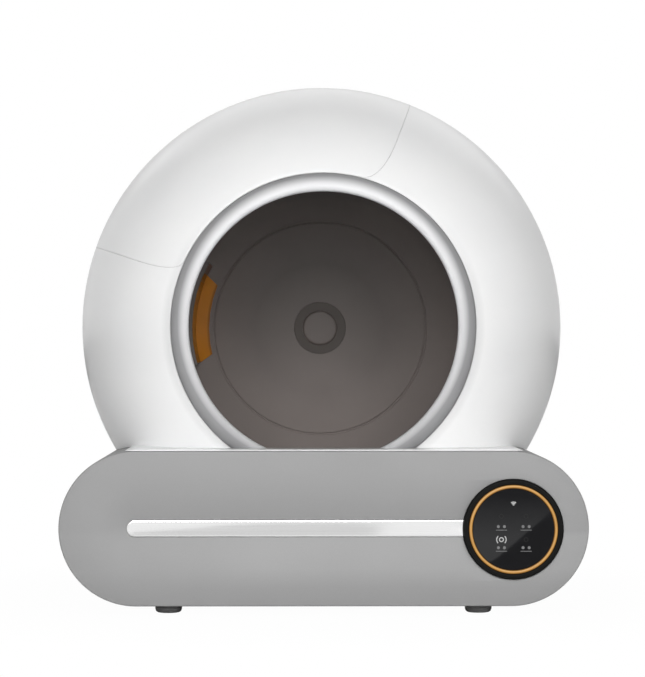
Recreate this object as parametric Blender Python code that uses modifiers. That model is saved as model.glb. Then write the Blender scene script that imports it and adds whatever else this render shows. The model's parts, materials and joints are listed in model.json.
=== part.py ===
"""Self cleaning litter box: a round drum that turns inside a white housing, on a grey drawer base.

Metres, +Z up, front towards -Y, origin on the floor under the middle of the box.
A front view angle is counted from +X towards +Z, as someone in front of the box sees it.
"""

import math

import bmesh
import bpy

# Overall size
base_width = 0.560
base_depth = 0.530
base_height = 0.1636
foot_height = 0.0098
housing_radius = 0.2725
housing_floor_gap = 0.0237

# Clearances
seat_gap = 0.0003
seam_gap = 0.0006
run_gap = 0.0004
slide_gap = 0.0012
drum_clearance = 0.006
overrun = 0.010

# Walls
shell_wall = 0.003
casing_wall = 0.003
drum_wall = 0.003
tray_wall = 0.0025
board_thickness = 0.0016

# Base and its front panel
panel_depth = 0.0250
panel_rim_depth = 0.0100
panel_rim_wall = 0.0040
panel_crest_drop = 0.0025
panel_roll_height = 0.0080
panel_roll_shares = ((0.20, 0.66), (0.33, 0.24), (0.48, 0.0), (0.64, 0.03),
                     (0.80, 0.16), (0.94, 0.34), (0.985, 0.50))
edge_round = 0.0060
strip_height = 0.0180
strip_depth = 0.0020
strip_proud = 0.0008

# Housing shells
front_set_back = 0.020
rear_set_back = 0.007
front_fullness = 2.3
rear_fullness = 3.0
rear_cover_radius = 0.0997
rear_ledge_radius = 0.085
rear_cover_thickness = 0.0032
hatch_start_angle = 68.3
hatch_end_angle = 160.6
hatch_inner_start_angle = 77.0
hatch_inner_end_angle = 154.5
hatch_corner_radius = 0.2156

# Entrance ring
ring_inner_radius = 0.1444
ring_width = 0.0196
ring_height = 0.0130
ring_shares = ((1.0, 0.0), (1.0, 0.25), (0.93, 0.50), (0.80, 0.74), (0.62, 0.91),
               (0.40, 1.0), (0.20, 0.95), (0.06, 0.80), (0.0, 0.60), (0.0, 0.0))
collar_set_back = 0.0056
collar_thickness = 0.0037
seal_set_back = 0.0071
seal_width = 0.0045
seal_length = 0.0070

# Drum
drum_to_shell = 0.0565
drum_lip_gap = 0.0036
drum_lip_wall = 0.0055
drum_lip_set_back = 0.0086
drum_dome_depth = 0.063
drive_bay_depth = 0.088
groove_radius = 0.128
groove_width = 0.0024
groove_depth = 0.0012
hub_hole_radius = 0.0313
hub_ring_inner_radius = 0.0211
hub_ring_recess = 0.0014
hub_cap_proud = 0.0012
hub_cap_round = 0.0020
pocket_radius = 0.1496
pocket_length = 0.130
pocket_start_angle = 150.0
pocket_end_angle = 197.0
window_overrun_angle = 10.0
sieve_start_angle = 155.0
sieve_end_angle = 196.0
sieve_inner_radius = 0.1335
sieve_flange = 0.0040
sieve_slant_share = 0.4
sieve_slot_count = 9
sieve_slot_share = 0.5
sieve_slot_margin = 0.008
sieve_edge_angle = 4.0
port_start_angle = 108.0
port_end_angle = 140.0
port_margin = 0.012

# Spindle and drive
spindle_radius = 0.010
spindle_flange_radius = 0.045
spindle_flange_thickness = 0.004
spindle_tail = 0.013
gear_teeth = 36
pinion_teeth = 12
gear_module = 0.004
gear_width = 0.012
gear_pressure_angle = 20.0
gear_addendum_share = 0.8
gear_dedendum_share = 1.15
gear_backlash_share = 0.12
gear_flank_shares = (0.0, 0.35, 1.0)
gear_spread = 0.0008
pinion_angle = -35.0
drive_plate_stand_off = 0.026
drive_plate_thickness = 0.004
bearing_outer_radius = 0.018
bearing_length = 0.012
clip_outer_radius = 0.016
clip_thickness = 0.003
motor_radius = 0.019
motor_length = 0.038
motor_shaft_radius = 0.003
magnet_radius = 0.005
magnet_thickness = 0.003
magnet_circle_radius = 0.120
magnet_angle = 22.5
sensor_width = 0.016
sensor_gap = 0.002

# Front support rollers
roller_radius = 0.012
roller_width = 0.020
roller_set_back = 0.015
roller_angle = 60.0
roller_pin_radius = 0.004
roller_pin_head_radius = 0.007
roller_pin_head = 0.002
bracket_thickness = 0.008
bracket_clearance = 0.0032
bracket_over_pin = 0.0048

# Waste drawer
tray_left_overhang = 0.0015
tray_pod_gap = 0.006
tray_drum_inset = 0.002
tray_floor_gap = 0.0107
tray_height = 0.051
bag_frame_height = 0.0035
bag_frame_width = 0.006
rail_width = 0.015
rail_lip_height = 0.008
rail_lip_wall = 0.003
rail_front_inset = 0.010
rail_back_inset = 0.003

# Display pod
pod_radius = 0.0525
pod_set_out = 0.0014
pod_wall = 0.0055
pod_floor = 0.003
light_ring_outer_radius = 0.0467
light_ring_inner_radius = 0.0434
light_ring_depth = 0.004
glass_thickness = 0.003
touch_board_gap = 0.0003

# Base inside, feet and sockets
pan_side_inset = 0.0045
pan_front_inset = 0.033
pan_back_inset = 0.009
pan_thickness = 0.003
pan_hole_side_inset = 0.0305
pan_hole_front_inset = 0.035
pan_hole_back_inset = 0.020
foot_radius = 0.0145
foot_round = 0.0030
foot_side_inset = 0.0327
foot_end_inset = 0.050
foot_stem_radius = 0.005
load_cell_length = 0.048
load_cell_width = 0.012
load_cell_height = 0.008
board_side_gap = 0.010
board_edge_inset = 0.001
board_foot_gap = 0.115
board_length = 0.150
board_rib = 0.004
board_rib_height = 0.0055
jack_side_shift = 0.0065
jack_drop = 0.0335
jack_radius = 0.0055
jack_bore_radius = 0.0030
jack_bore_depth = 0.009
jack_flange_radius = 0.009
jack_flange = 0.0025
jack_length = 0.014
screw_head_radius = 0.004
screw_head_height = 0.0022
screw_radius = 0.0018
screw_length = 0.0075
screw_circle_radius = 0.0925
screw_angles = (90.0, 210.0, 330.0)

# Facets of round pieces, and the distance at which points count as one
weld_distance = 0.00001
big_facets = 48
medium_facets = 24
small_facets = 16
tiny_facets = 12
stadium_facets = 12
shell_facets = 7
dome_facets = 5
arc_facets = 8

# Sizes that follow from the ones above
front_y = -base_depth / 2
back_y = base_depth / 2
base_radius = base_height / 2
base_mid_z = foot_height + base_radius
end_x = base_width / 2 - base_radius
pod_x = end_x + pod_set_out
panel_back_y = front_y + panel_depth
panel_face_y = front_y + panel_crest_drop
panel_inner_y = panel_back_y - panel_rim_depth
casing_front_y = panel_back_y + seat_gap
casing_floor_z = foot_height + casing_wall
front_length = base_depth / 2 - front_set_back
rear_length = base_depth / 2 - rear_set_back
axis_height = foot_height + housing_floor_gap + housing_radius
ring_outer_radius = ring_inner_radius + ring_width
collar_inner_radius = ring_inner_radius + collar_set_back
seal_inner_radius = ring_inner_radius + seal_set_back
drum_radius = housing_radius - drum_to_shell
drum_lip_inner_radius = ring_inner_radius + drum_lip_gap
drum_lip_radius = drum_lip_inner_radius + drum_lip_wall
drum_back_y = rear_length - drive_bay_depth
pocket_front_y = drum_back_y - pocket_length
drive_plate_y = drum_back_y + drive_plate_stand_off
foot_x = end_x - foot_side_inset
foot_y = back_y - foot_end_inset
pan_half_x = end_x - pan_side_inset
pan_front_y = front_y + pan_front_inset
pan_back_y = back_y - pan_back_inset
pan_hole_half_x = foot_x - pan_hole_side_inset
pan_hole_front_y = pan_hole_front_inset - foot_y
pan_hole_back_y = foot_y - pan_hole_back_inset
jack_x = end_x + jack_side_shift
jack_z = base_mid_z - jack_drop
pan_bottom_z = casing_floor_z + seat_gap
pan_top_z = pan_bottom_z + pan_thickness
tray_left_x = -end_x - tray_left_overhang
tray_right_x = end_x - pod_radius - tray_pod_gap
tray_back_y = drum_back_y - tray_drum_inset
tray_bottom_z = pan_top_z + tray_floor_gap
tray_top_z = tray_bottom_z + tray_height
bracket_bottom_z = tray_top_z + seat_gap + bag_frame_height + bracket_clearance
rail_front_y = rail_front_inset - foot_y
rail_back_y = tray_back_y - rail_back_inset
board_left_x = tray_right_x + board_side_gap
board_right_x = pan_half_x - board_edge_inset
board_front_y = board_foot_gap - foot_y
board_back_y = board_front_y + board_length
tray_front_y = panel_inner_y + seat_gap
gear_pitch_radius = gear_module * gear_teeth / 2
pinion_pitch_radius = gear_module * pinion_teeth / 2
gear_distance = gear_pitch_radius + pinion_pitch_radius + gear_spread
spindle_flange_y = drum_back_y + drum_wall + seat_gap
gear_front_y = spindle_flange_y + spindle_flange_thickness + seat_gap
gear_back_y = gear_front_y + gear_width
plate_back_y = drive_plate_y + drive_plate_thickness
spindle_end_y = plate_back_y + spindle_tail
pinion_x = gear_distance * math.cos(math.radians(pinion_angle))
pinion_z = axis_height + gear_distance * math.sin(math.radians(pinion_angle))
roller_distance = drum_radius + roller_radius + seat_gap
roller_x = roller_distance * math.cos(math.radians(roller_angle))
roller_z = axis_height - roller_distance * math.sin(math.radians(roller_angle))
bracket_top_z = roller_z + bracket_over_pin


# Scene and collections
def clear_scene():
    """Remove every object that the file opened with."""
    for found in list(bpy.data.objects):
        bpy.data.objects.remove(found, do_unlink=True)


def collection(name):
    """Make a collection and link it to the scene."""
    made = bpy.data.collections.new(name)
    bpy.context.scene.collection.children.link(made)
    return made


clear_scene()
parts = collection("litter_box")
cutters = collection("cutters")


# Finishes, one material for each piece
white = ((0.88, 0.88, 0.88, 1.0), 0.35, 0.0)
grey = ((0.36, 0.36, 0.37, 1.0), 0.45, 0.0)
satin = ((0.62, 0.62, 0.64, 1.0), 0.28, 1.0)
drum_grey = ((0.10, 0.09, 0.085, 1.0), 0.50, 0.0)
orange = ((0.55, 0.22, 0.04, 1.0), 0.40, 0.0)
black = ((0.02, 0.02, 0.022, 1.0), 0.12, 0.0)
rubber = ((0.05, 0.05, 0.05, 1.0), 0.80, 0.0)
steel = ((0.55, 0.56, 0.58, 1.0), 0.30, 1.0)
nylon = ((0.70, 0.70, 0.66, 1.0), 0.50, 0.0)
board_green = ((0.02, 0.16, 0.07, 1.0), 0.50, 0.0)
glow = ((0.80, 0.42, 0.10, 1.0), 0.40, 0.0)


def paint(piece, finish):
    """Give a piece its own material."""
    colour, roughness, metallic = finish
    made = bpy.data.materials.new(piece.name)
    made.use_nodes = True
    shader = made.node_tree.nodes["Principled BSDF"]
    shader.inputs["Base Color"].default_value = colour
    shader.inputs["Roughness"].default_value = roughness
    shader.inputs["Metallic"].default_value = metallic
    piece.data.materials.append(made)


def add_piece(name, mesh, finish):
    """Link a mesh as a part, or as a cutter where it has no finish."""
    piece = bpy.data.objects.new(name, mesh)
    if finish is None:
        cutters.objects.link(piece)
        piece.hide_render = True
        piece.display_type = "WIRE"
    else:
        parts.objects.link(piece)
        paint(piece, finish)
    return piece


def mesh_from(name, shape):
    """Turn a bmesh into a mesh and free it."""
    mesh = bpy.data.meshes.new(name)
    shape.to_mesh(mesh)
    shape.free()
    return mesh


def face_front(piece, x, z):
    """Stand a piece's own Z axis towards the front, on a line through x and z."""
    piece.rotation_euler = (math.pi / 2, 0, 0)
    piece.location = (x, 0, z)


# Shapes
def box(name, low, high, finish):
    """A block between two corners."""
    shape = bmesh.new()
    bmesh.ops.create_cube(shape, size=1)
    spans = [top - bottom for bottom, top in zip(low, high)]
    middle = [(top + bottom) / 2 for bottom, top in zip(low, high)]
    bmesh.ops.scale(shape, vec=spans, verts=shape.verts)
    bmesh.ops.translate(shape, vec=middle, verts=shape.verts)
    return add_piece(name, mesh_from(name, shape), finish)


def turned(name, profile, facets, finish, x=0.0, z=axis_height, upright=False):
    """Turn a profile of (radius, y) points; upright pieces take (radius, z) points instead.

    The profile runs along the outer side from front to back, or from top to bottom.
    """
    mesh = bpy.data.meshes.new(name)
    towards = 1 if upright else -1
    points = [(radius, 0, towards * place) for radius, place in profile]
    closed = profile[0][0] > 0
    edges = [(i, i + 1) for i in range(len(points) - 1)]
    if closed:
        edges.append((len(points) - 1, 0))
    mesh.from_pydata(points, edges, [])
    piece = add_piece(name, mesh, finish)
    screw = piece.modifiers.new("turn", "SCREW")
    screw.steps = facets
    screw.render_steps = facets
    screw.use_merge_vertices = True
    screw.merge_threshold = weld_distance
    weld = piece.modifiers.new("weld", "WELD")
    weld.merge_threshold = weld_distance
    if upright:
        piece.location = (x, 0, z)
    else:
        face_front(piece, x, z)
    return piece


def tube(name, outer, inner, front, back, facets, finish, x=0.0, z=axis_height):
    """A straight tube between two y places."""
    profile = [(outer, front), (outer, back), (inner, back), (inner, front)]
    return turned(name, profile, facets, finish, x, z)


def disc(name, radius, front, back, facets, finish, x=0.0, z=axis_height):
    """A straight disc or rod between two y places."""
    profile = [(0, front), (radius, front), (radius, back), (0, back)]
    return turned(name, profile, facets, finish, x, z)


def plate(name, outline, front, back, finish, x=0.0, z=axis_height):
    """A flat outline of (x, z) points about a centre, between two y places."""
    line = bpy.data.curves.new(name, "CURVE")
    line.dimensions = "2D"
    line.fill_mode = "BOTH"
    line.extrude = (back - front) / 2
    spline = line.splines.new("POLY")
    spline.points.add(len(outline) - 1)
    for point, place in zip(spline.points, outline):
        point.co = (place[0], place[1], 0, 1)
    spline.use_cyclic_u = True
    drawn = bpy.data.objects.new(name + "_line", line)
    cutters.objects.link(drawn)
    bpy.context.view_layer.update()
    mesh = bpy.data.meshes.new_from_object(drawn.evaluated_get(bpy.context.evaluated_depsgraph_get()))
    bpy.data.objects.remove(drawn, do_unlink=True)
    shape = bmesh.new()
    shape.from_mesh(mesh)
    bmesh.ops.remove_doubles(shape, verts=shape.verts, dist=weld_distance)
    bmesh.ops.translate(shape, vec=(0, 0, -(front + back) / 2), verts=shape.verts)
    bmesh.ops.recalc_face_normals(shape, faces=shape.faces)
    piece = add_piece(name, mesh_from(name, shape), finish)
    face_front(piece, x, z)
    return piece


def loft(name, loops, finish):
    """Skin loops of equal count, and cap the first and the last."""
    shape = bmesh.new()
    rings = [[shape.verts.new(point) for point in loop] for loop in loops]
    count = len(loops[0])
    for ring, following in zip(rings, rings[1:]):
        for i in range(count):
            after = (i + 1) % count
            shape.faces.new((ring[i], ring[after], following[after], following[i]))
    shape.faces.new(rings[0])
    shape.faces.new(rings[-1])
    bmesh.ops.recalc_face_normals(shape, faces=shape.faces)
    return add_piece(name, mesh_from(name, shape), finish)


def stadium(radius, y):
    """A loop with round ends about the base's two end centres."""
    points = []
    for side, start in ((1, -math.pi / 2), (-1, math.pi / 2)):
        for step in range(stadium_facets + 1):
            angle = start + math.pi * step / stadium_facets
            x = side * end_x + radius * math.cos(angle)
            points.append((x, y, base_mid_z + radius * math.sin(angle)))
    return points


def polar(radius, degrees):
    """A front view point at a radius and an angle."""
    return (radius * math.cos(math.radians(degrees)), radius * math.sin(math.radians(degrees)))


def arc(radius, start, end, steps):
    """Points along an arc of the front view."""
    return [polar(radius, start + (end - start) * i / steps) for i in range(steps + 1)]


def cut(piece, cutter, operation="DIFFERENCE"):
    """Cut, join or intersect a piece with another shape."""
    change = piece.modifiers.new(operation.lower(), "BOOLEAN")
    change.operation = operation
    change.object = cutter
    change.solver = "EXACT"
    return piece


def sector(name, start, end, radius, front, back):
    """A pie slice cutter about the drum's axis."""
    outline = [(0, 0)] + arc(radius, start, end, arc_facets)
    return plate(name, outline, front, back, None)


# White housing
def shell_curve(length, radius, fullness, stop_radius, sign):
    """Points of a bulged profile from its widest place to a smaller radius."""
    reach = math.acos((stop_radius / radius) ** (fullness / 2))
    points = []
    for step in range(shell_facets + 1):
        angle = reach * step / shell_facets
        out = radius * math.cos(angle) ** (2 / fullness)
        along = sign * length * math.sin(angle) ** (2 / fullness)
        points.append((out, along))
    return points


def curve_radius(length, radius, fullness, along):
    """The radius of a bulged profile at a distance from its widest place."""
    return radius * (1 - (abs(along) / length) ** fullness) ** (1 / fullness)


def curve_length(length, radius, fullness, out):
    """The distance of a bulged profile from its widest place, at a radius."""
    return length * (1 - (out / radius) ** fullness) ** (1 / fullness)


collar_face_y = -curve_length(front_length, housing_radius, front_fullness, ring_outer_radius) + shell_wall
collar_back_y = collar_face_y + collar_thickness
drum_lip_y = collar_back_y + drum_lip_set_back
drum_shoulder_y = drum_lip_y + drum_dome_depth
roller_y = drum_shoulder_y + roller_set_back


def front_profile(with_collar, split_y):
    """Outer curve, the collar that the ring sits on, and the inner curve."""
    outer = shell_curve(front_length, housing_radius, front_fullness, ring_outer_radius + seat_gap, -1)
    outer[0] = (outer[0][0], split_y)
    inner_length = front_length - shell_wall
    inner_radius = housing_radius - shell_wall
    inner_stop = curve_radius(inner_length, inner_radius, front_fullness, collar_back_y)
    inner = shell_curve(inner_length, inner_radius, front_fullness, inner_stop, -1)
    inner[0] = (inner[0][0], split_y)
    points = list(reversed(outer)) + inner
    if with_collar:
        points.append((collar_inner_radius, collar_back_y))
        points.append((collar_inner_radius, collar_face_y))
        points.append((ring_outer_radius + seat_gap, collar_face_y))
    else:
        points.append((ring_outer_radius + seat_gap, collar_back_y))
    return points


def hatch_outline(grow):
    """Front view outline of the lift off hatch; a positive grow moves its edges outwards."""
    far = housing_radius + overrun
    inner = ring_outer_radius + seam_gap - grow
    turn = math.degrees(grow / hatch_corner_radius)
    start = hatch_start_angle - turn
    end = hatch_end_angle + turn
    inner_start = hatch_inner_start_angle - turn
    inner_end = hatch_inner_end_angle + turn
    outline = arc(far, start, end, big_facets // 2)
    outline += corner(end, inner_end, inner)
    outline += arc(inner, inner_end, inner_start, arc_facets * 2)
    outline += list(reversed(corner(start, inner_start, inner)))
    return outline


def corner(edge_angle, inner_angle, inner):
    """A rounded corner from the hatch's radial edge to the ring, without its last point."""
    first = polar(hatch_corner_radius, edge_angle)
    bend = polar(inner, edge_angle)
    last = polar(inner, inner_angle)
    points = []
    for step in range(arc_facets):
        part = step / arc_facets
        shares = ((1 - part) ** 2, 2 * part * (1 - part), part ** 2)
        points.append(tuple(sum(s * p[k] for s, p in zip(shares, (first, bend, last))) for k in range(2)))
    return points


def base_cutter():
    """The base's outside, grown by the seat gap, that trims what stands on it."""
    radius = base_radius + seat_gap
    return loft("base_room", [stadium(radius, front_y - overrun), stadium(radius, back_y + overrun)], None)


def make_housing():
    """Front shell, hatch, rear shell and the service cover behind."""
    base_room = base_cutter()
    hatch_room = plate("hatch_room", hatch_outline(seam_gap / 2), -front_length - overrun, overrun, None)
    front = turned("front_shell", front_profile(True, -seam_gap / 2), big_facets, white)
    cut(front, hatch_room)
    cut(front, base_room)
    hatch_shape = plate("hatch_shape", hatch_outline(-seam_gap / 2), -front_length - overrun, overrun, None)
    hatch = turned("top_hatch", front_profile(False, -seam_gap / 2), big_facets, white)
    cut(hatch, hatch_shape, "INTERSECT")
    rear = turned("rear_shell", rear_profile(), big_facets, white)
    cut(rear, base_room)
    cover = disc("rear_cover", rear_cover_radius, rear_ledge_y() + seat_gap,
                 rear_ledge_y() + rear_cover_thickness, big_facets, white)
    for number, angle in enumerate(screw_angles, 1):
        x, z = polar(screw_circle_radius, angle)
        hole = disc("screw_hole_%d" % number, screw_radius + seat_gap, rear_ledge_y() - overrun,
                    back_y, tiny_facets, None, x, axis_height + z)
        cut(cover, hole)
        cut(rear, hole)
        make_screw("rear_screw_%d" % number, x, axis_height + z)
    return base_room


def rear_ledge_y():
    """Where the service cover rests."""
    length = curve_length(rear_length, housing_radius, rear_fullness, rear_cover_radius)
    return length - rear_cover_thickness


def rear_inner_curve():
    """Inner curve of the rear shell, from the split to the ledge."""
    length = rear_length - shell_wall
    radius = housing_radius - shell_wall
    stop = curve_radius(length, radius, rear_fullness, rear_ledge_y() - shell_wall)
    curve = shell_curve(length, radius, rear_fullness, stop, 1)
    curve[0] = (curve[0][0], seam_gap / 2)
    return curve


def radius_along(curve, y):
    """The radius of a faceted profile at a y place."""
    for (near, start), (far, end) in zip(curve, curve[1:]):
        if start <= y <= end:
            return near + (far - near) * (y - start) / (end - start)
    return curve[-1][0]


def rear_profile():
    """The rear shell, with a recessed ledge for the service cover."""
    edge_radius = rear_cover_radius + seat_gap
    outer = shell_curve(rear_length, housing_radius, rear_fullness, edge_radius, 1)
    outer[0] = (outer[0][0], seam_gap / 2)
    ledge = rear_ledge_y()
    points = outer + [(edge_radius, ledge), (rear_ledge_radius, ledge)]
    points.append((rear_ledge_radius, ledge - shell_wall))
    return points + list(reversed(rear_inner_curve()))


def make_screw(name, x, z):
    """A pan head screw, pointing forwards into the rear ledge."""
    head_y = rear_ledge_y() + rear_cover_thickness + seat_gap
    profile = [(0, head_y - screw_length), (screw_radius, head_y - screw_length), (screw_radius, head_y)]
    profile += [(screw_head_radius, head_y), (screw_head_radius, head_y + screw_head_height / 2)]
    profile += [(screw_head_radius / 2, head_y + screw_head_height), (0, head_y + screw_head_height)]
    turned(name, profile, tiny_facets, steel, x, z)


def make_entrance(base_room):
    """The satin ring round the entrance and the lip seal behind it."""
    back = collar_face_y - seat_gap
    width = ring_outer_radius - ring_inner_radius
    profile = [(ring_inner_radius + out * width, back - up * ring_height) for out, up in ring_shares]
    ring = turned("entrance_ring", list(reversed(profile)), big_facets, satin)
    cut(ring, base_room)
    seal_front = collar_back_y + seat_gap
    seal_outer = seal_inner_radius + seal_width
    profile = [(seal_outer, seal_front), (seal_outer, seal_front + seal_length / 2)]
    profile += [(seal_inner_radius + seal_width / 2, seal_front + seal_length)]
    profile += [(seal_inner_radius, seal_front + seal_length / 2), (seal_inner_radius, seal_front)]
    seal = turned("drum_seal", profile, big_facets, rubber)
    cut(seal, base_room)


# Drum
def dome_curve(lip_radius, radius, lip_y):
    """A quarter round from the drum's shoulder to its lip."""
    points = []
    for step in range(dome_facets + 1):
        angle = math.pi / 2 * step / dome_facets
        points.append((lip_radius + (radius - lip_radius) * math.cos(angle),
                       drum_shoulder_y - (drum_shoulder_y - lip_y) * math.sin(angle)))
    return points


def drum_room():
    """The drum's outside, grown by its clearance, that opens the base's deck for it."""
    grow = drum_clearance
    curve = dome_curve(drum_lip_radius + grow, drum_radius + grow, drum_lip_y - grow)
    back = drum_back_y + drum_wall + grow
    profile = [(0, drum_lip_y - grow)] + list(reversed(curve)) + [(drum_radius + grow, back), (0, back)]
    return turned("drum_room", profile, big_facets, None)


def make_drum():
    """The turning drum: front dome, barrel with its waste port, back wall, pocket and sieve."""
    outer = dome_curve(drum_lip_radius, drum_radius, drum_lip_y)
    inner = dome_curve(drum_lip_inner_radius, drum_radius - drum_wall, drum_lip_y + drum_wall)
    profile = list(reversed(outer)) + inner + [(drum_lip_inner_radius, drum_lip_y)]
    turned("drum_front", profile, big_facets, drum_grey)
    inside = drum_radius - drum_wall
    barrel = tube("drum_barrel", drum_radius, inside, drum_shoulder_y + seat_gap,
                  drum_back_y - seat_gap, big_facets, drum_grey)
    port = sector("port_room", port_start_angle, port_end_angle, drum_radius + overrun,
                  pocket_front_y + port_margin, drum_back_y - port_margin)
    cut(barrel, port)
    make_back_wall()
    make_pocket()
    make_sieve()


def make_back_wall():
    """The drum's back wall, with its round groove and the hub hole."""
    back = drum_back_y + drum_wall
    half = groove_width / 2
    groove_y = drum_back_y + groove_depth
    profile = [(drum_radius, drum_back_y), (drum_radius, back)]
    profile += [(hub_hole_radius, back), (hub_hole_radius, drum_back_y)]
    profile += [(groove_radius - half, drum_back_y), (groove_radius - half, groove_y)]
    profile += [(groove_radius + half, groove_y), (groove_radius + half, drum_back_y)]
    turned("drum_back", profile, big_facets, drum_grey)
    tube("hub_ring", hub_hole_radius - seat_gap, hub_ring_inner_radius,
         drum_back_y + hub_ring_recess, back, medium_facets, rubber)
    cap_radius = hub_ring_inner_radius - seat_gap
    cap_front = drum_back_y - hub_cap_proud
    profile = [(0, cap_front), (cap_radius - hub_cap_round, cap_front)]
    profile += [(cap_radius, cap_front + hub_cap_round), (cap_radius, back), (0, back)]
    turned("hub_cap", profile, medium_facets, drum_grey)


def make_pocket():
    """The scoop pocket's front wall, inner wall and end wall, as one moulding."""
    wall = drum_wall
    inside = drum_radius - drum_wall - seat_gap
    back = drum_back_y - seat_gap
    profile = [(inside, pocket_front_y), (inside, pocket_front_y + wall)]
    profile += [(pocket_radius + wall, pocket_front_y + wall), (pocket_radius + wall, back + overrun)]
    profile += [(pocket_radius, back + overrun), (pocket_radius, pocket_front_y)]
    pocket = turned("drum_pocket", profile, big_facets, drum_grey)
    turn = math.degrees(wall / pocket_radius)
    near = pocket_radius + wall / 2
    far = inside * math.cos(math.pi / big_facets) - seat_gap
    outline = [polar(near, pocket_start_angle - turn), polar(far, pocket_start_angle - turn)]
    outline += [polar(far, pocket_start_angle + turn * pocket_radius / inside)]
    outline += [polar(near, pocket_start_angle + turn)]
    end_wall = plate("pocket_end", outline, pocket_front_y + wall / 2, back + overrun * 2, None)
    cut(pocket, end_wall, "UNION")
    keep = sector("pocket_shape", pocket_start_angle, pocket_end_angle, drum_radius + overrun,
                  pocket_front_y - overrun, back)
    cut(pocket, keep, "INTERSECT")
    window_turn = math.degrees(seat_gap / pocket_radius)
    window = sector("sieve_window", sieve_start_angle - window_turn, pocket_end_angle + window_overrun_angle,
                    drum_radius - drum_wall, pocket_front_y + wall, drum_back_y + overrun)
    cut(pocket, window)


def make_sieve():
    """The orange litter sieve: a slotted curved wall with a flange on the back wall."""
    wall = drum_wall
    back = drum_back_y - seat_gap
    front = pocket_front_y + wall + seat_gap
    profile = [(pocket_radius + wall, front), (pocket_radius + wall, back)]
    profile += [(sieve_inner_radius, back), (sieve_inner_radius, back - sieve_flange)]
    profile += [(pocket_radius, back - sieve_flange), (pocket_radius, front)]
    sieve = turned("drum_sieve", profile, big_facets, orange)
    outline = sieve_outline()
    cut(sieve, plate("sieve_shape", outline, front - overrun, drum_back_y + overrun, None), "INTERSECT")
    first = front + sieve_slot_margin
    step = (back - sieve_flange - sieve_slot_margin - first) / sieve_slot_count
    for number in range(sieve_slot_count):
        start = first + step * number
        slot = sector("sieve_slot_%d" % (number + 1), sieve_start_angle + sieve_edge_angle,
                      sieve_end_angle - sieve_edge_angle, drum_radius, start, start + step * sieve_slot_share)
        cut(sieve, slot)


def sieve_outline():
    """Front view outline of the sieve, whose ends slant inwards along the flange."""
    far = pocket_radius + drum_wall + overrun
    slant = sieve_slant_share * math.degrees((pocket_radius - sieve_inner_radius) / pocket_radius)
    wide = arc(far, sieve_start_angle, sieve_end_angle, arc_facets)
    narrow = arc(sieve_inner_radius - seat_gap, sieve_end_angle - slant,
                 sieve_start_angle + slant, arc_facets)
    edge = [polar(pocket_radius, sieve_end_angle)]
    return wide + edge + narrow + [polar(pocket_radius, sieve_start_angle)]


# Spindle and drive
def make_drive():
    """Spindle, gears, drive plate with its bearing, and the motor."""
    profile = [(0, spindle_flange_y), (spindle_flange_radius, spindle_flange_y)]
    profile += [(spindle_flange_radius, spindle_flange_y + spindle_flange_thickness)]
    profile += [(spindle_radius, spindle_flange_y + spindle_flange_thickness)]
    profile += [(spindle_radius, spindle_end_y), (0, spindle_end_y)]
    turned("drum_spindle", profile, medium_facets, steel)
    gear = plate("drum_gear", gear_outline(gear_teeth, pinion_angle), gear_front_y, gear_back_y, nylon)
    cut(gear, disc("gear_bore", spindle_radius + seat_gap, gear_front_y - overrun, gear_back_y + overrun,
                   medium_facets, None))
    facing = pinion_angle + 180 + 180 / pinion_teeth
    pinion = plate("motor_pinion", gear_outline(pinion_teeth, facing), gear_front_y, gear_back_y, steel,
                   pinion_x, pinion_z)
    shaft_bore = disc("pinion_bore", motor_shaft_radius + seat_gap, gear_front_y - overrun,
                      gear_back_y + overrun, tiny_facets, None, pinion_x, pinion_z)
    cut(pinion, shaft_bore)
    motor_front = plate_back_y + seat_gap
    shaft_end = motor_front + motor_length / 3
    disc("motor_shaft", motor_shaft_radius, gear_front_y, shaft_end, tiny_facets, steel, pinion_x, pinion_z)
    hole = motor_shaft_radius + run_gap
    pit = shaft_end + seat_gap
    profile = [(motor_radius, motor_front), (motor_radius, motor_front + motor_length)]
    profile += [(0, motor_front + motor_length), (0, pit), (hole, pit), (hole, motor_front)]
    motor = turned("drive_motor", closed_by_axis(profile), medium_facets, steel, pinion_x, pinion_z)
    make_drive_plate()
    return motor


def closed_by_axis(profile):
    """Start a profile that touches the axis at its two axis points, so it turns into a closed body."""
    places = [i for i, (radius, _) in enumerate(profile) if radius == 0]
    first = places[-1]
    return profile[first:] + profile[:first]


def gear_outline(teeth, tooth_angle):
    """Involute teeth, one of them centred at the given angle."""
    pitch = gear_module * teeth / 2
    base = pitch * math.cos(math.radians(gear_pressure_angle))
    root = pitch - gear_dedendum_share * gear_module
    tip = pitch + gear_addendum_share * gear_module
    pitch_roll = involute(math.radians(gear_pressure_angle))
    half_tooth = math.pi / (2 * teeth) * (1 - gear_backlash_share) + pitch_roll
    start = max(base, root)
    flank = []
    for share in gear_flank_shares:
        radius = start + share * (tip - start)
        roll = involute(math.acos(min(1, base / radius)))
        flank.append((radius, half_tooth - roll))
    flank[0] = (root, flank[0][1])
    points = []
    for tooth in range(teeth):
        middle = math.radians(tooth_angle) + 2 * math.pi * tooth / teeth
        for radius, half in flank:
            points.append((radius * math.cos(middle - half), radius * math.sin(middle - half)))
        for radius, half in reversed(flank):
            points.append((radius * math.cos(middle + half), radius * math.sin(middle + half)))
    return points


def involute(angle):
    """The involute function of a pressure angle."""
    return math.tan(angle) - angle


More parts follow.
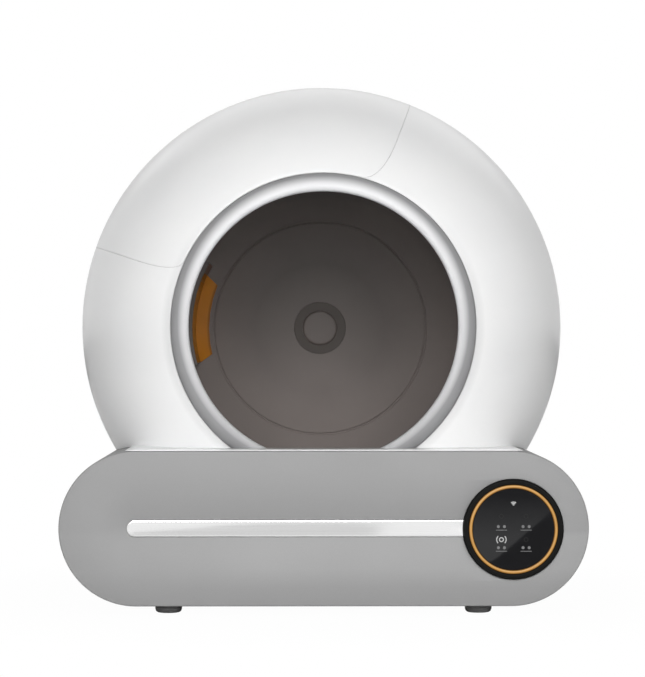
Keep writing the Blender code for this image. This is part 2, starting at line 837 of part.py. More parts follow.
def make_drive_plate():
    """The plate inside the rear shell, with the spindle bearing, its clip and the home sensor."""
    inner = radius_along(rear_inner_curve(), plate_back_y)
    drive_plate = disc("drive_plate", inner - seat_gap, drive_plate_y, plate_back_y, big_facets, steel)
    cut(drive_plate, bpy.data.objects["base_room"])
    bearing_hole = disc("bearing_hole", bearing_outer_radius + seat_gap, drive_plate_y - overrun,
                        plate_back_y + overrun, medium_facets, None)
    cut(drive_plate, bearing_hole)
    shaft_hole = disc("shaft_hole", motor_shaft_radius * 2, drive_plate_y - overrun,
                      plate_back_y + overrun, tiny_facets, None, pinion_x, pinion_z)
    cut(drive_plate, shaft_hole)
    bearing_front = (drive_plate_y + plate_back_y - bearing_length) / 2
    tube("spindle_bearing", bearing_outer_radius, spindle_radius + seat_gap, bearing_front,
         bearing_front + bearing_length, medium_facets, nylon)
    clip_front = bearing_front + bearing_length + run_gap
    tube("spindle_clip", clip_outer_radius, spindle_radius + seat_gap, clip_front,
         clip_front + clip_thickness, medium_facets, steel)
    x, z = polar(magnet_circle_radius, magnet_angle)
    magnet_front = drum_back_y + drum_wall + seat_gap
    magnet_back = magnet_front + magnet_thickness
    disc("home_magnet", magnet_radius, magnet_front, magnet_back, tiny_facets, steel, x, axis_height + z)
    half = sensor_width / 2
    box("home_sensor", (x - half, magnet_back + sensor_gap, axis_height + z - half),
        (x + half, drive_plate_y - seat_gap, axis_height + z + half), board_green)


# Front support rollers
def make_rollers():
    """Two rollers under the drum's front, each on a pin in its own bracket."""
    for side, name in ((-1, "left"), (1, "right")):
        x = side * roller_x
        bracket_back = roller_y - roller_width / 2 - slide_gap
        bracket_front = bracket_back - bracket_thickness
        wall_x = min(inner_wall_x(bracket_bottom_z), inner_wall_x(bracket_top_z)) - seat_gap
        inner_x = x - side * (roller_pin_head_radius + bracket_thickness / 2)
        low = (min(inner_x, side * wall_x), bracket_front, bracket_bottom_z)
        high = (max(inner_x, side * wall_x), bracket_back, bracket_top_z)
        bracket = box("roller_bracket_" + name, low, high, grey)
        cut(bracket, disc("pin_hole_" + name, roller_pin_radius + seat_gap, bracket_front - overrun,
                          bracket_back + overrun, small_facets, None, x, roller_z))
        pin_back = roller_y + roller_width / 2 + run_gap
        profile = [(0, bracket_front), (roller_pin_radius, bracket_front), (roller_pin_radius, pin_back)]
        profile += [(roller_pin_head_radius, pin_back), (roller_pin_head_radius, pin_back + roller_pin_head)]
        profile += [(0, pin_back + roller_pin_head)]
        turned("roller_pin_" + name, profile, small_facets, steel, x, roller_z)
        tube("roller_" + name, roller_radius, roller_pin_radius + run_gap, roller_y - roller_width / 2,
             roller_y + roller_width / 2, small_facets, rubber, x, roller_z)


def inner_wall_x(z):
    """Half width inside the base casing at a height, at the flats of its facets."""
    radius = (base_radius - casing_wall) * math.cos(math.pi / (2 * stadium_facets))
    return end_x + math.sqrt(radius ** 2 - (z - base_mid_z) ** 2)


# Base
def make_base():
    """The casing, the pan on its floor, and the sockets in its back."""
    edge = edge_round
    loops = [stadium(base_radius, casing_front_y), stadium(base_radius, back_y - edge)]
    for step in range(1, 4):
        angle = math.pi / 2 * step / 3
        radius = base_radius - edge * (1 - math.cos(angle))
        loops.append(stadium(radius, back_y - edge * (1 - math.sin(angle))))
    casing = loft("base_casing", loops, grey)
    inside = base_radius - casing_wall
    room_front = casing_front_y + casing_wall
    cut(casing, loft("casing_room", [stadium(inside, room_front), stadium(inside, back_y - edge)], None))
    drawer_top = tray_top_z + bag_frame_height + slide_gap
    drawer_room = box("drawer_room", (tray_left_x - slide_gap, front_y, tray_bottom_z - slide_gap),
                      (tray_right_x + slide_gap, room_front + seat_gap, drawer_top), None)
    cut(casing, drawer_room)
    cut(casing, drum_room())
    floor_room = box("floor_room", (-pan_hole_half_x, pan_hole_front_y, foot_height - overrun),
                     (pan_hole_half_x, pan_hole_back_y, casing_floor_z + seat_gap), None)
    cut(casing, floor_room)
    jack_hole = disc("jack_hole", jack_radius + seat_gap, back_y - overrun, back_y + overrun, small_facets,
                     None, jack_x, jack_z)
    cut(casing, jack_hole)
    pan = box("base_pan", (-pan_half_x, pan_front_y, pan_bottom_z),
              (pan_half_x, pan_back_y, pan_top_z), rubber)
    make_feet(casing, pan)
    make_board(pan)
    make_jack()
    make_rails()


def make_feet(casing, pan):
    """Four rubber feet whose stems press on the load cells above the pan."""
    stem_top = pan_top_z + run_gap
    room = 2 * run_gap
    for depth, row in ((-1, "front"), (1, "rear")):
        for side, name in ((-1, "left"), (1, "right")):
            x = side * foot_x
            y = depth * foot_y
            place = "%s_%s" % (row, name)
            top = foot_height - seat_gap
            profile = [(0, stem_top), (foot_stem_radius, stem_top), (foot_stem_radius, top)]
            profile += [(foot_radius, top), (foot_radius, foot_round), (foot_radius - foot_round, 0), (0, 0)]
            foot = turned("foot_" + place, profile, small_facets, rubber, x, 0, upright=True)
            foot.location.y = y
            hole_profile = [(0, pan_top_z + overrun), (foot_stem_radius + room, pan_top_z + overrun)]
            hole_profile += [(foot_stem_radius + room, foot_height - overrun), (0, foot_height - overrun)]
            hole = turned("foot_hole_" + place, hole_profile, small_facets, None, x, 0, upright=True)
            hole.location.y = y
            cut(casing, hole)
            cut(pan, hole)
            cell_bottom = stem_top + seat_gap
            box("load_cell_" + place,
                (x - load_cell_length / 2, y - load_cell_width / 2, cell_bottom),
                (x + load_cell_length / 2, y + load_cell_width / 2, cell_bottom + load_cell_height), steel)


def make_board(pan):
    """The control board on two ribs of the pan, beside the drawer."""
    rib_top = pan_top_z + board_rib_height
    for number, y in enumerate((board_front_y + board_rib, board_back_y - 2 * board_rib), 1):
        rib = box("board_rib_%d" % number, (board_left_x, y, pan_bottom_z + pan_thickness / 2),
                  (board_right_x, y + board_rib, rib_top), None)
        cut(pan, rib, "UNION")
    bottom = rib_top + seat_gap
    box("control_board", (board_left_x, board_front_y, bottom),
        (board_right_x, board_back_y, bottom + board_thickness), board_green)


def make_jack():
    """The power inlet in the back wall."""
    inner_face = back_y - edge_round
    flange_back = inner_face - seat_gap
    flange_front = flange_back - jack_flange
    body_front = flange_front - jack_length / 2
    tip = back_y - seat_gap
    profile = [(0, body_front), (jack_radius, body_front), (jack_radius, flange_front)]
    profile += [(jack_flange_radius, flange_front), (jack_flange_radius, flange_back)]
    profile += [(jack_radius, flange_back), (jack_radius, tip), (jack_bore_radius, tip)]
    profile += [(jack_bore_radius, tip - jack_bore_depth), (0, tip - jack_bore_depth)]
    turned("power_inlet", profile, small_facets, rubber, jack_x, jack_z)


def make_rails():
    """Two drawer rails on the pan, with lips that guide the tray's sides."""
    top = tray_bottom_z - seat_gap
    for side, name, wall_x in ((-1, "left", tray_left_x), (1, "right", tray_right_x)):
        lip_near = wall_x + side * slide_gap
        lip_far = lip_near + side * rail_lip_wall
        near = wall_x - side * rail_width
        bottom = pan_top_z + seat_gap
        lip_top = top + rail_lip_height
        outline = [(near, bottom), (lip_far, bottom), (lip_far, lip_top)]
        outline += [(lip_near, lip_top), (lip_near, top), (near, top)]
        plate("drawer_rail_" + name, outline, rail_front_y, rail_back_y, steel, 0, 0)


# Waste drawer
def make_drawer():
    """The tray, the bag frame on its rim, the front panel and its trim strip."""
    tray = box("waste_tray", (tray_left_x, tray_front_y, tray_bottom_z),
               (tray_right_x, tray_back_y, tray_top_z), drum_grey)
    wall = tray_wall
    tray_room = box("tray_room", (tray_left_x + wall, tray_front_y + wall, tray_bottom_z + wall),
                    (tray_right_x - wall, tray_back_y - wall, tray_top_z + overrun), None)
    cut(tray, tray_room)
    frame_bottom = tray_top_z + seat_gap
    frame_top = frame_bottom + bag_frame_height
    frame_front = casing_front_y + slide_gap
    frame = box("bag_frame", (tray_left_x, frame_front, frame_bottom),
                (tray_right_x, tray_back_y, frame_top), grey)
    inset = bag_frame_width
    frame_room = box("frame_room", (tray_left_x + inset, frame_front + inset, frame_bottom - overrun),
                     (tray_right_x - inset, tray_back_y - inset, frame_top + overrun), None)
    cut(frame, frame_room)
    panel = loft("drawer_front", panel_loops(), grey)
    cut(panel, disc("pod_room", pod_radius + run_gap * 2, front_y - overrun, panel_back_y + overrun,
                    big_facets, None, pod_x, base_mid_z))
    make_strip()


def panel_loops():
    """Stadium loops from the strip's channel, over the rolled face, round the rim to the inside."""
    channel = strip_height / 2 + seat_gap
    channel_floor = panel_face_y + panel_roll_height + strip_depth
    loops = [stadium(channel, channel_floor), stadium(channel, panel_face_y + panel_roll_height)]
    span = base_radius - channel
    for out, down in panel_roll_shares:
        loops.append(stadium(channel + out * span, panel_face_y + down * panel_roll_height))
    loops.append(stadium(base_radius, panel_face_y + panel_roll_height))
    loops.append(stadium(base_radius, panel_back_y))
    inner = base_radius - panel_rim_wall
    loops.append(stadium(inner, panel_back_y))
    loops.append(stadium(inner, panel_inner_y))
    return loops


def make_strip():
    """The satin strip that lies in the panel's channel, up to the display."""
    radius = strip_height / 2
    front = panel_face_y + panel_roll_height - strip_proud
    back = panel_face_y + panel_roll_height + strip_depth - seat_gap
    strip = loft("front_strip", [stadium(radius, front), stadium(radius, back)], satin)
    cut(strip, bpy.data.objects["pod_room"])


# Display
def make_display():
    """The round pod on the casing's right end: cup, light ring, glass and touch board."""
    back = panel_back_y
    floor = back - pod_floor
    rim = front_y + seat_gap
    ring_seat = front_y + light_ring_depth
    inner = pod_radius - pod_wall
    ledge = light_ring_inner_radius - pod_wall
    ledge_front = ring_seat + seat_gap
    profile = [(0, floor), (ledge, floor), (ledge, ledge_front), (inner, ledge_front), (inner, rim)]
    profile += [(pod_radius, rim), (pod_radius, back), (0, back)]
    turned("pod_housing", profile, big_facets, black, pod_x, base_mid_z)
    tube("light_ring", min(light_ring_outer_radius, inner - seat_gap), light_ring_inner_radius, front_y,
         ring_seat, big_facets, glow, pod_x, base_mid_z)
    glass_back = front_y + glass_thickness
    disc("display_glass", light_ring_inner_radius - seat_gap, front_y + seat_gap, glass_back, big_facets,
         black, pod_x, base_mid_z)
    board_front = glass_back + touch_board_gap
    disc("touch_board", ledge - seat_gap, board_front, board_front + board_thickness, medium_facets,
         board_green, pod_x, base_mid_z)


def make_joint_empties():
    """Empties at the joints' places, that carry the moving pieces."""
    drum_parts = ("drum_front", "drum_barrel", "drum_back", "hub_ring", "hub_cap", "drum_pocket",
                  "drum_sieve", "drum_spindle", "drum_gear", "home_magnet")
    drawer_parts = ("waste_tray", "bag_frame", "drawer_front", "front_strip")
    for name, place, carried in (("drum_axis", (0, 0, axis_height), drum_parts),
                                 ("drawer_slide", (0, panel_back_y, base_mid_z), drawer_parts)):
        empty = bpy.data.objects.new(name, None)
        parts.objects.link(empty)
        empty.location = place
        bpy.context.view_layer.update()
        for piece_name in carried:
            piece = bpy.data.objects[piece_name]
            piece.parent = empty
            piece.matrix_parent_inverse = empty.matrix_world.inverted()


base_room_cutter = make_housing()
make_entrance(base_room_cutter)
make_drum()
make_drive()
make_rollers()
make_base()
make_drawer()
make_display()
make_joint_empties()
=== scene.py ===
# %% [markdown]
# # A self cleaning litter box
#
# The box is a round white housing with a drum turning inside it, on a grey base
# with a drawer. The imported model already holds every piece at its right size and
# place, so this lesson gives the pieces the smooth curves, small edges and
# finishes that make them look real, and then lights and photographs them.
#
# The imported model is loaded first. It is never moved. Pieces that show are
# modelled again over it, more finely, and stand in for the plain ones.

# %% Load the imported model
import json
import math

import bmesh
import bpy
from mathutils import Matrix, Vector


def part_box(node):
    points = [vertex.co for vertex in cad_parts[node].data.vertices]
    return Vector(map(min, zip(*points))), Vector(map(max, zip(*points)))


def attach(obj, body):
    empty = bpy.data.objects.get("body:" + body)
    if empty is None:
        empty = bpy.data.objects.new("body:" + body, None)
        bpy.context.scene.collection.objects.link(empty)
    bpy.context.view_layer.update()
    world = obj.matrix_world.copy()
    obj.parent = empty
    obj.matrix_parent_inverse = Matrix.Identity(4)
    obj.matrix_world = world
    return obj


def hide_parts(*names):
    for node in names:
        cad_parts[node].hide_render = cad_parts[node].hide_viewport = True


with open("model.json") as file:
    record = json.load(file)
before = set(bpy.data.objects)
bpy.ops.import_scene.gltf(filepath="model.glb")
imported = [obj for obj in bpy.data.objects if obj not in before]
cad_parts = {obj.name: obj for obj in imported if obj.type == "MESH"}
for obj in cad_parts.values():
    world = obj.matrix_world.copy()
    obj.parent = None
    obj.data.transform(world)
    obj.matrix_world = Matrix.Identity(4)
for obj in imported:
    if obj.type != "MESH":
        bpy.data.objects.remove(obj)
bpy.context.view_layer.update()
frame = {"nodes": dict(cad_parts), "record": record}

# %% [markdown]
# Two habits keep operators from acting on the wrong thing. Before a new piece is
# added, edit mode is left and everything is deselected. And a finished piece keeps
# its origin at the middle of the world, with its place in its mesh, so that a
# pattern painted by object coordinates doesn't slide on it.

# %% Starting and finishing a piece
def clear_selection():
    """Leave edit mode and deselect every object."""
    if bpy.context.mode != "OBJECT":
        bpy.ops.object.mode_set(mode="OBJECT")
    bpy.ops.object.select_all(action="DESELECT")


def pick(piece):
    """Select one piece and make it active."""
    clear_selection()
    piece.select_set(True)
    bpy.context.view_layer.objects.active = piece


def enter_edit(piece):
    """Pick a piece and go into edit mode with all of it selected."""
    pick(piece)
    bpy.ops.object.mode_set(mode="EDIT")
    bpy.ops.mesh.select_all(action="SELECT")


def leave_edit():
    """Leave edit mode."""
    bpy.ops.object.mode_set(mode="OBJECT")


def name_piece(name):
    """Name the object that was just added, and its mesh."""
    piece = bpy.context.active_object
    piece.name = name
    piece.data.name = name
    return piece


def settle(piece):
    """Put the piece's place, turn and size into its mesh."""
    pick(piece)
    bpy.ops.object.transform_apply(location=True, rotation=True, scale=True)


def apply_modifier(piece, kind, **settings):
    """Add a modifier, set it and apply it."""
    pick(piece)
    modifier = piece.modifiers.new(kind.lower(), kind)
    for key, value in settings.items():
        setattr(modifier, key, value)
    bpy.ops.object.modifier_apply(modifier=modifier.name)


def count_faces(piece):
    """Say how many faces a piece has, and its box."""
    low = [min(corner[axis] for corner in piece.bound_box) for axis in range(3)]
    high = [max(corner[axis] for corner in piece.bound_box) for axis in range(3)]
    sizes = " x ".join("%.1f" % (1000 * (b - a)) for a, b in zip(low, high))
    print("%s: %d faces, %s mm" % (piece.name, len(piece.data.polygons), sizes))


# %% [markdown]
# Almost every piece of this object is round. Such a piece is a profile, half of its
# cross-section, turned about an axis. The profile is drawn as one point that is
# extruded from place to place. Spin then sweeps it round. Where the sweep closes,
# the first and last copies lie on each other, so doubles are merged, and after
# that the normals are turned outwards.

# %% Drawing a profile and turning it
drum_axis_z = 0.306
full_turn = 2 * math.pi
fine_steps = 192
merge_distance = 0.000005


def draw_profile(name, places):
    """Draw a line of edges through places by extruding one point."""
    clear_selection()
    bpy.ops.mesh.primitive_plane_add(size=0.001, location=(0, 0, 0))
    piece = name_piece(name)
    enter_edit(piece)
    bpy.ops.mesh.merge(type="CENTER")
    bpy.ops.transform.translate(value=places[0])
    for here, there in zip(places, places[1:]):
        step = tuple(b - a for a, b in zip(here, there))
        bpy.ops.mesh.extrude_vertices_move(TRANSFORM_OT_translate={"value": step})
    return piece


def tidy_turned():
    """Merge what a closed sweep doubled and point the faces outwards."""
    bpy.ops.mesh.select_all(action="SELECT")
    bpy.ops.mesh.remove_doubles(threshold=merge_distance)
    bpy.ops.mesh.normals_make_consistent(inside=False)


def fill_outline(name, places):
    """Draw a closed outline and fill it; edit mode stays on."""
    piece = draw_profile(name, places)
    bpy.ops.mesh.select_all(action="SELECT")
    bpy.ops.mesh.edge_face_add()
    bpy.ops.mesh.select_all(action="SELECT")
    return piece


def prism(name, places, depth):
    """Fill an outline and extrude it backwards."""
    piece = fill_outline(name, places)
    bpy.ops.mesh.extrude_region_move(TRANSFORM_OT_translate={"value": (0, depth, 0)})
    tidy_turned()
    leave_edit()
    return piece


def box_profile(inner, outer, front, back):
    """A closed rectangle as a profile."""
    return [(outer, front), (outer, back), (inner, back), (inner, front), (outer, front)]


def turn_profile(name, profile, steps=fine_steps, x=0.0, z=drum_axis_z, start=0.0, span=full_turn):
    """Turn a profile of (radius, y) about a level axis, anticlockwise from the front."""
    places = [(x + radius * math.cos(start), y, z + radius * math.sin(start)) for radius, y in profile]
    piece = draw_profile(name, places)
    bpy.ops.mesh.select_all(action="SELECT")
    bpy.ops.mesh.spin(steps=steps, angle=span, center=(x, 0, z), axis=(0, 1, 0))
    tidy_turned()
    leave_edit()
    return piece


def smooth(piece, degrees=35):
    """Shade smooth, but keep corners that turn more than this."""
    pick(piece)
    bpy.ops.object.shade_smooth_by_angle(angle=math.radians(degrees))


def drop(piece):
    """Delete a tool that is no longer needed."""
    bpy.data.objects.remove(piece, do_unlink=True)


trial = turn_profile("trial", box_profile(0.02, 0.03, 0, 0.01), 24)
count_faces(trial)
drop(trial)

# %% [markdown]
# Sharp edges are the first thing that gives a computer model away. Moulded plastic
# always has a small round on its edges that catches the light. A Bevel modifier
# that works by angle rounds just the real corners and leaves the smooth curve as
# it is.

# %% Rounding the edges
def round_edges(piece, width, segments=2, degrees=35):
    """Bevel the edges that turn more than the given angle."""
    apply_modifier(piece, "BEVEL", width=width, segments=segments, limit_method="ANGLE",
                   angle_limit=math.radians(degrees), use_clamp_overlap=True)


def cut_away(piece, tool, operation="DIFFERENCE"):
    """Cut a piece with a closed tool, and keep the tool."""
    apply_modifier(piece, "BOOLEAN", operation=operation, solver="EXACT", object=tool)


def cut_with(tool, *pieces):
    """Cut pieces with a closed tool, and delete the tool."""
    for piece in pieces:
        cut_away(piece, tool)
    drop(tool)


def round_tool(name, radius, depth, place, corners=48, turn=math.pi / 2):
    """A cylinder to cut with; it lies along y unless its turn says otherwise."""
    clear_selection()
    bpy.ops.mesh.primitive_cylinder_add(vertices=corners, radius=radius, depth=depth,
                                        rotation=(turn, 0, 0), location=place)
    return name_piece(name)


def place_on(piece, body, slot, *nodes):
    """Ride on a body and stand in for the plain nodes; the slot is not used."""
    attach(piece, body)
    if nodes:
        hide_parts(*nodes)
    count_faces(piece)


def complete(piece, finish, body, slot, *nodes, degrees=35):
    """Smooth a piece, give it its finish and place it."""
    smooth(piece, degrees)
    piece.data.materials.append(finish)
    place_on(piece, body, slot, *nodes)

# %% [markdown]
# ## Finishes
# A finish is a Principled shader with its plain values typed on its own sockets.
# What varies over the surface comes from a noise on object coordinates, which are
# metres here: a noise scale of 1000 makes marks about a millimetre wide. The noise
# moves the roughness a little, so that highlights break up, and lifts the surface
# by a few hundredths of a millimetre.

# %% Helpers for finishes
def new_finish(name, colour, roughness, metallic=0.0, **sockets):
    """A shader with plain values; sockets are named with underscores for spaces."""
    finish = bpy.data.materials.new(name)
    finish.use_nodes = True
    shader = finish.node_tree.nodes["Principled BSDF"]
    shader.inputs["Base Color"].default_value = (*colour, 1)
    shader.inputs["Roughness"].default_value = roughness
    shader.inputs["Metallic"].default_value = metallic
    for key, value in sockets.items():
        shader.inputs[key.replace("_", " ")].default_value = value
    return finish


def add_node(finish, kind, inputs=None, **settings):
    """Add a node, set its options and fill or link its inputs."""
    node = finish.node_tree.nodes.new("ShaderNode" + kind)
    for key, value in settings.items():
        setattr(node, key, value)
    for key, value in (inputs or {}).items():
        if isinstance(value, bpy.types.NodeSocket):
            finish.node_tree.links.new(value, node.inputs[key])
        else:
            node.inputs[key].default_value = value
    return node


def feed(finish, output, socket):
    """Link an output to a socket of the finish's shader."""
    shader = finish.node_tree.nodes["Principled BSDF"]
    finish.node_tree.links.new(output, shader.inputs[socket])


def object_place(finish, stretch=(1, 1, 1), shift=(0, 0, 0)):
    """Object coordinates, stretched along the axes."""
    where = add_node(finish, "TexCoord").outputs["Object"]
    inputs = {"Vector": where, "Scale": stretch, "Location": shift}
    return add_node(finish, "Mapping", inputs).outputs["Vector"]


def axes_of(finish, place):
    """The X, Y and Z of a place."""
    return add_node(finish, "SeparateXYZ", {"Vector": place}).outputs


def reach_of(finish, place):
    """How far a place is from zero."""
    return add_node(finish, "VectorMath", {0: place}, operation="LENGTH").outputs["Value"]


def from_axis(finish, rise=0.0):
    """How far out from the drum's axis, how high above it and how deep a place is."""
    centred = object_place(finish, (1, 0, 1), (0, 0, -drum_axis_z - rise))
    return (reach_of(finish, centred), axes_of(finish, centred)["Z"],
            axes_of(finish, object_place(finish))["Y"])


def noise(finish, place, scale, detail=3.0, softness=0.55):
    """A noise from 0 to 1 at a place."""
    inputs = {"Vector": place, "Scale": scale, "Detail": detail, "Roughness": softness}
    return add_node(finish, "TexNoise", inputs).outputs["Fac"]


def spread(finish, value, low, high, start=0.3, end=0.7):
    """Turn a noise into a number between low and high."""
    inputs = {"Value": value, "From Min": start, "From Max": end, "To Min": low, "To Max": high}
    return add_node(finish, "MapRange", inputs).outputs["Result"]


def work_out(finish, operation, *numbers):
    """A number worked out from others by one operation."""
    inputs = dict(enumerate(numbers))
    return add_node(finish, "Math", inputs, operation=operation).outputs[0]


def blend_colours(finish, share, *colours):
    """Mix two colours by a share."""
    inputs = {"Factor": share}
    for socket, colour in zip((6, 7), colours):
        inputs[socket] = colour if isinstance(colour, bpy.types.NodeSocket) else (*colour, 1)
    return add_node(finish, "Mix", inputs, data_type="RGBA").outputs[2]


def shade(finish, colour, factor):
    """Make a colour lighter or darker and feed it to the shader."""
    made = add_node(finish, "VectorMath", {0: colour, "Scale": factor}, operation="SCALE")
    feed(finish, made.outputs["Vector"], "Base Color")


def lift(finish, height, distance, strength=0.5, below=None):
    """Bump the surface by a height, over another bump if one is given."""
    inputs = {"Height": height, "Distance": distance, "Strength": strength}
    if below is not None:
        inputs["Normal"] = below
    return add_node(finish, "Bump", inputs).outputs["Normal"]


def mottle(finish, value, *colours):
    """Two colours that change places with a noise."""
    return blend_colours(finish, spread(finish, value, 0.0, 1.0), *colours)


def grain(finish, marks, rough=None, colours=None, bump=None, stretch=(1, 1, 1),
          socket="Base Color"):
    """Let one noise move a finish's roughness and colour and lift its surface."""
    value = noise(finish, object_place(finish, stretch), *marks)
    if rough:
        feed(finish, spread(finish, value, *rough), "Roughness")
    if colours:
        feed(finish, mottle(finish, value, *colours), socket)
    if bump:
        feed(finish, lift(finish, value, *bump), "Normal")


# %% [markdown]
# ### White shell
# The shell is injection moulded and polished, with a soft gloss. Two noises make
# it: a fine one for the slight orange peel of moulded plastic, and a broad one that
# makes the roughness wander, as handling does. Painted shade makes a few
# millimetres round the sides and lower part of the entrance ring a little darker,
# and painted light makes the foot of the shell a little whiter.

# %% White shell finish
shell_white = new_finish("shell_white", (0.80, 0.80, 0.80), 0.34, Coat_Weight=0.35, Coat_Roughness=0.16)
place = object_place(shell_white)
handled = noise(shell_white, place, 14, 4.0)
wiped = mottle(shell_white, handled, (0.795, 0.797, 0.80), (0.815, 0.815, 0.813))
out, up, deep = from_axis(shell_white)
# Painted shade: the shell is darker for a few millimetres round the sides and lower part of the entrance ring.
near_ring = spread(shell_white, out, 1.0, 0.0, 0.1645, 0.1745)
in_front = spread(shell_white, deep, 1.0, 0.0, -0.15, -0.10)
low_down = spread(shell_white, up, 0.20, 0.0, 0.02, 0.13)
ring_painted_shade = work_out(shell_white, "MULTIPLY", work_out(shell_white, "MULTIPLY", near_ring, in_front), low_down)
# Painted light: the foot of the shell is up to 9 % whiter.
foot_painted_light = spread(shell_white, up, 1.09, 1.0, -0.125, -0.03)
shade(shell_white, wiped, work_out(shell_white, "SUBTRACT", foot_painted_light, ring_painted_shade))
feed(shell_white, spread(shell_white, handled, 0.30, 0.40), "Roughness")
peel = lift(shell_white, noise(shell_white, place, 420, 2.0), 0.00004, 0.25)
feed(shell_white, lift(shell_white, noise(shell_white, place, 2600, 1.0), 0.00001, 0.25, peel), "Normal")

# %% [markdown]
# ### Grey base
# The base has a satin paint with a very fine grain. The grain shows as tiny lighter
# and darker specks in the colour, and as a dry, even sheen. Painted light makes the
# lower half of the drawer's face a shade paler.

# %% Grey base finish
base_grey = new_finish("base_grey", (0.255, 0.255, 0.255), 0.56)
place = object_place(base_grey)
speck = noise(base_grey, place, 2200, 2.0, 0.7)
axes = axes_of(base_grey, place)
# Painted light: the lower half of the drawer's face is up to 13 % paler.
lower_painted_light = work_out(base_grey, "MULTIPLY", spread(base_grey, axes["Z"], 0.0, 0.13, 0.030, 0.050),
                  spread(base_grey, axes["Z"], 1.0, 0.0, 0.084, 0.090))
lower_painted_light = work_out(base_grey, "MULTIPLY", lower_painted_light, spread(base_grey, axes["X"], 0.2, 1.0, -0.20, -0.05))
lower_painted_light = work_out(base_grey, "MULTIPLY_ADD", lower_painted_light,
                  spread(base_grey, axes["Y"], 1.0, 0.0, -0.254, -0.250), 1.0)
shade(base_grey, mottle(base_grey, speck, (0.238, 0.238, 0.240), (0.271, 0.270, 0.269)), lower_painted_light)
grain(base_grey, (9, 3.0), (0.54, 0.62))
feed(base_grey, lift(base_grey, speck, 0.00003, 0.35), "Normal")

# %% [markdown]
# ### Satin ring and strip
# Both trims are a satin metal. The ring was finished while it turned, so its hair
# lines run round it: its noise reads the distance from the axis and, much slower,
# the angle. The angle jumps where it closes, so it is measured from the bottom,
# where the base hides the ring. The strip was drawn lengthwise, so its noise is
# stretched along it. Painted reflection and shade make the ring's colour dark on
# its outer flank and pale towards its inner edge.

# %% Satin ring finish
ring_satin = new_finish("ring_satin", (0.78, 0.78, 0.785), 0.50, Specular_IOR_Level=0.35)
place = object_place(ring_satin, (1, 0, 1), (0, 0, -drum_axis_z))
axes = axes_of(ring_satin, place)
around = work_out(ring_satin, "ARCTAN2", axes["X"], axes["Z"])
polar_place = add_node(ring_satin, "CombineXYZ",
                       {"X": reach_of(ring_satin, place), "Y": around}).outputs["Vector"]
stretched = add_node(ring_satin, "Mapping", {"Vector": polar_place, "Scale": (3200, 2.2, 1)})
hair = noise(ring_satin, stretched.outputs["Vector"], 1.0, 2.0)
# Painted reflection and shade: the ring is dark on its outer flank and pale on its inner edge.
flank_painted_shade = spread(ring_satin, from_axis(ring_satin, 0.0045)[0], 0.0, 1.0, 0.1455, 0.1565)
feed(ring_satin, blend_colours(ring_satin, flank_painted_shade, (0.71, 0.71, 0.72), (0.26, 0.26, 0.265)), "Base Color")
feed(ring_satin, spread(ring_satin, hair, 0.44, 0.56), "Roughness")
feed(ring_satin, lift(ring_satin, hair, 0.00001, 0.30), "Normal")

# %% Satin strip finish
strip_satin = new_finish("strip_satin", (0.86, 0.86, 0.86), 0.08, 1.0)
grain(strip_satin, (1.0, 3.0), (0.06, 0.11), ((0.84, 0.84, 0.84), (0.88, 0.88, 0.88)), (0.000004, 0.20),
      (6, 2600, 2600))

# %% [markdown]
# ### Drum plastic
# The drum is a warm dark grey plastic with a fine spark-eroded texture, because
# litter would scratch a polished wall. Faint pale dust lies on it in broad patches.
# Painted light and shade make the back wall darker at the top and paler low down
# and towards its edge.

# %% Drum finish
drum_colour, drum_texture = (0.117, 0.099, 0.091), (1400, 2.0, 0.6)
drum_grey = new_finish("drum_grey", drum_colour, 0.62)
dust = noise(drum_grey, object_place(drum_grey), 11, 5.0, 0.6)
out, up, deep = from_axis(drum_grey)
# Painted light and shade: the back wall is darker at the top and paler low down and towards its edge.
wall_painted_light = work_out(drum_grey, "MULTIPLY_ADD", spread(drum_grey, out, 0.0, 0.80, 0.078, 0.155),
                   spread(drum_grey, up, 0.25, 1.0, -0.12, -0.02),
                   spread(drum_grey, up, 1.36, 0.58, -0.12, 0.10))
inside = add_node(drum_grey, "Mix",
                  {0: spread(drum_grey, deep, 0.0, 1.0, 0.13, 0.165), 2: 1.0, 3: wall_painted_light}).outputs[0]
shade(drum_grey, mottle(drum_grey, dust, (0.110, 0.093, 0.085), (0.124, 0.105, 0.097)), inside)
grain(drum_grey, drum_texture, (0.56, 0.70), bump=(0.00006, 0.40))

# %% [markdown]
# The scoop pocket is of the same plastic, but painted light bounced from the
# orange sieve makes its deeper half a warm brown. The hub is a shade darker than
# the wall. The sieve is dusty orange, darker along its inner rim.

# %% Pocket, hub and sieve finishes
pocket_warm = new_finish("pocket_warm", drum_colour, 0.62)
deep = from_axis(pocket_warm)[2]
# Painted light: the pocket's deeper half is warm brown, as if lit by light bounced from the orange sieve.
feed(pocket_warm, blend_colours(pocket_warm, spread(pocket_warm, deep, 0.0, 1.0, 0.0405, 0.0445),
                                drum_colour, (0.46, 0.28, 0.20)), "Base Color")
grain(pocket_warm, drum_texture, (0.56, 0.70), bump=(0.00006, 0.40))

hub_dark = new_finish("hub_dark", (0.086, 0.076, 0.070), 0.75, Specular_IOR_Level=0.2)
grain(hub_dark, drum_texture, (0.70, 0.80), ((0.079, 0.070, 0.064), (0.093, 0.082, 0.076)),
      (0.00005, 0.30))

sieve_orange = new_finish("sieve_orange", (0.48, 0.172, 0.004), 0.55, Specular_IOR_Level=0.2)
dust = noise(sieve_orange, object_place(sieve_orange), 30, 4.0, 0.6)
rim = spread(sieve_orange, from_axis(sieve_orange)[0], 0.6, 1.0, 0.1347, 0.1368)
shade(sieve_orange, mottle(sieve_orange, dust, (0.46, 0.166, 0.003), (0.52, 0.186, 0.005)), rim)
grain(sieve_orange, (1600, 2.0, 0.6), (0.42, 0.54), bump=(0.00004, 0.35))

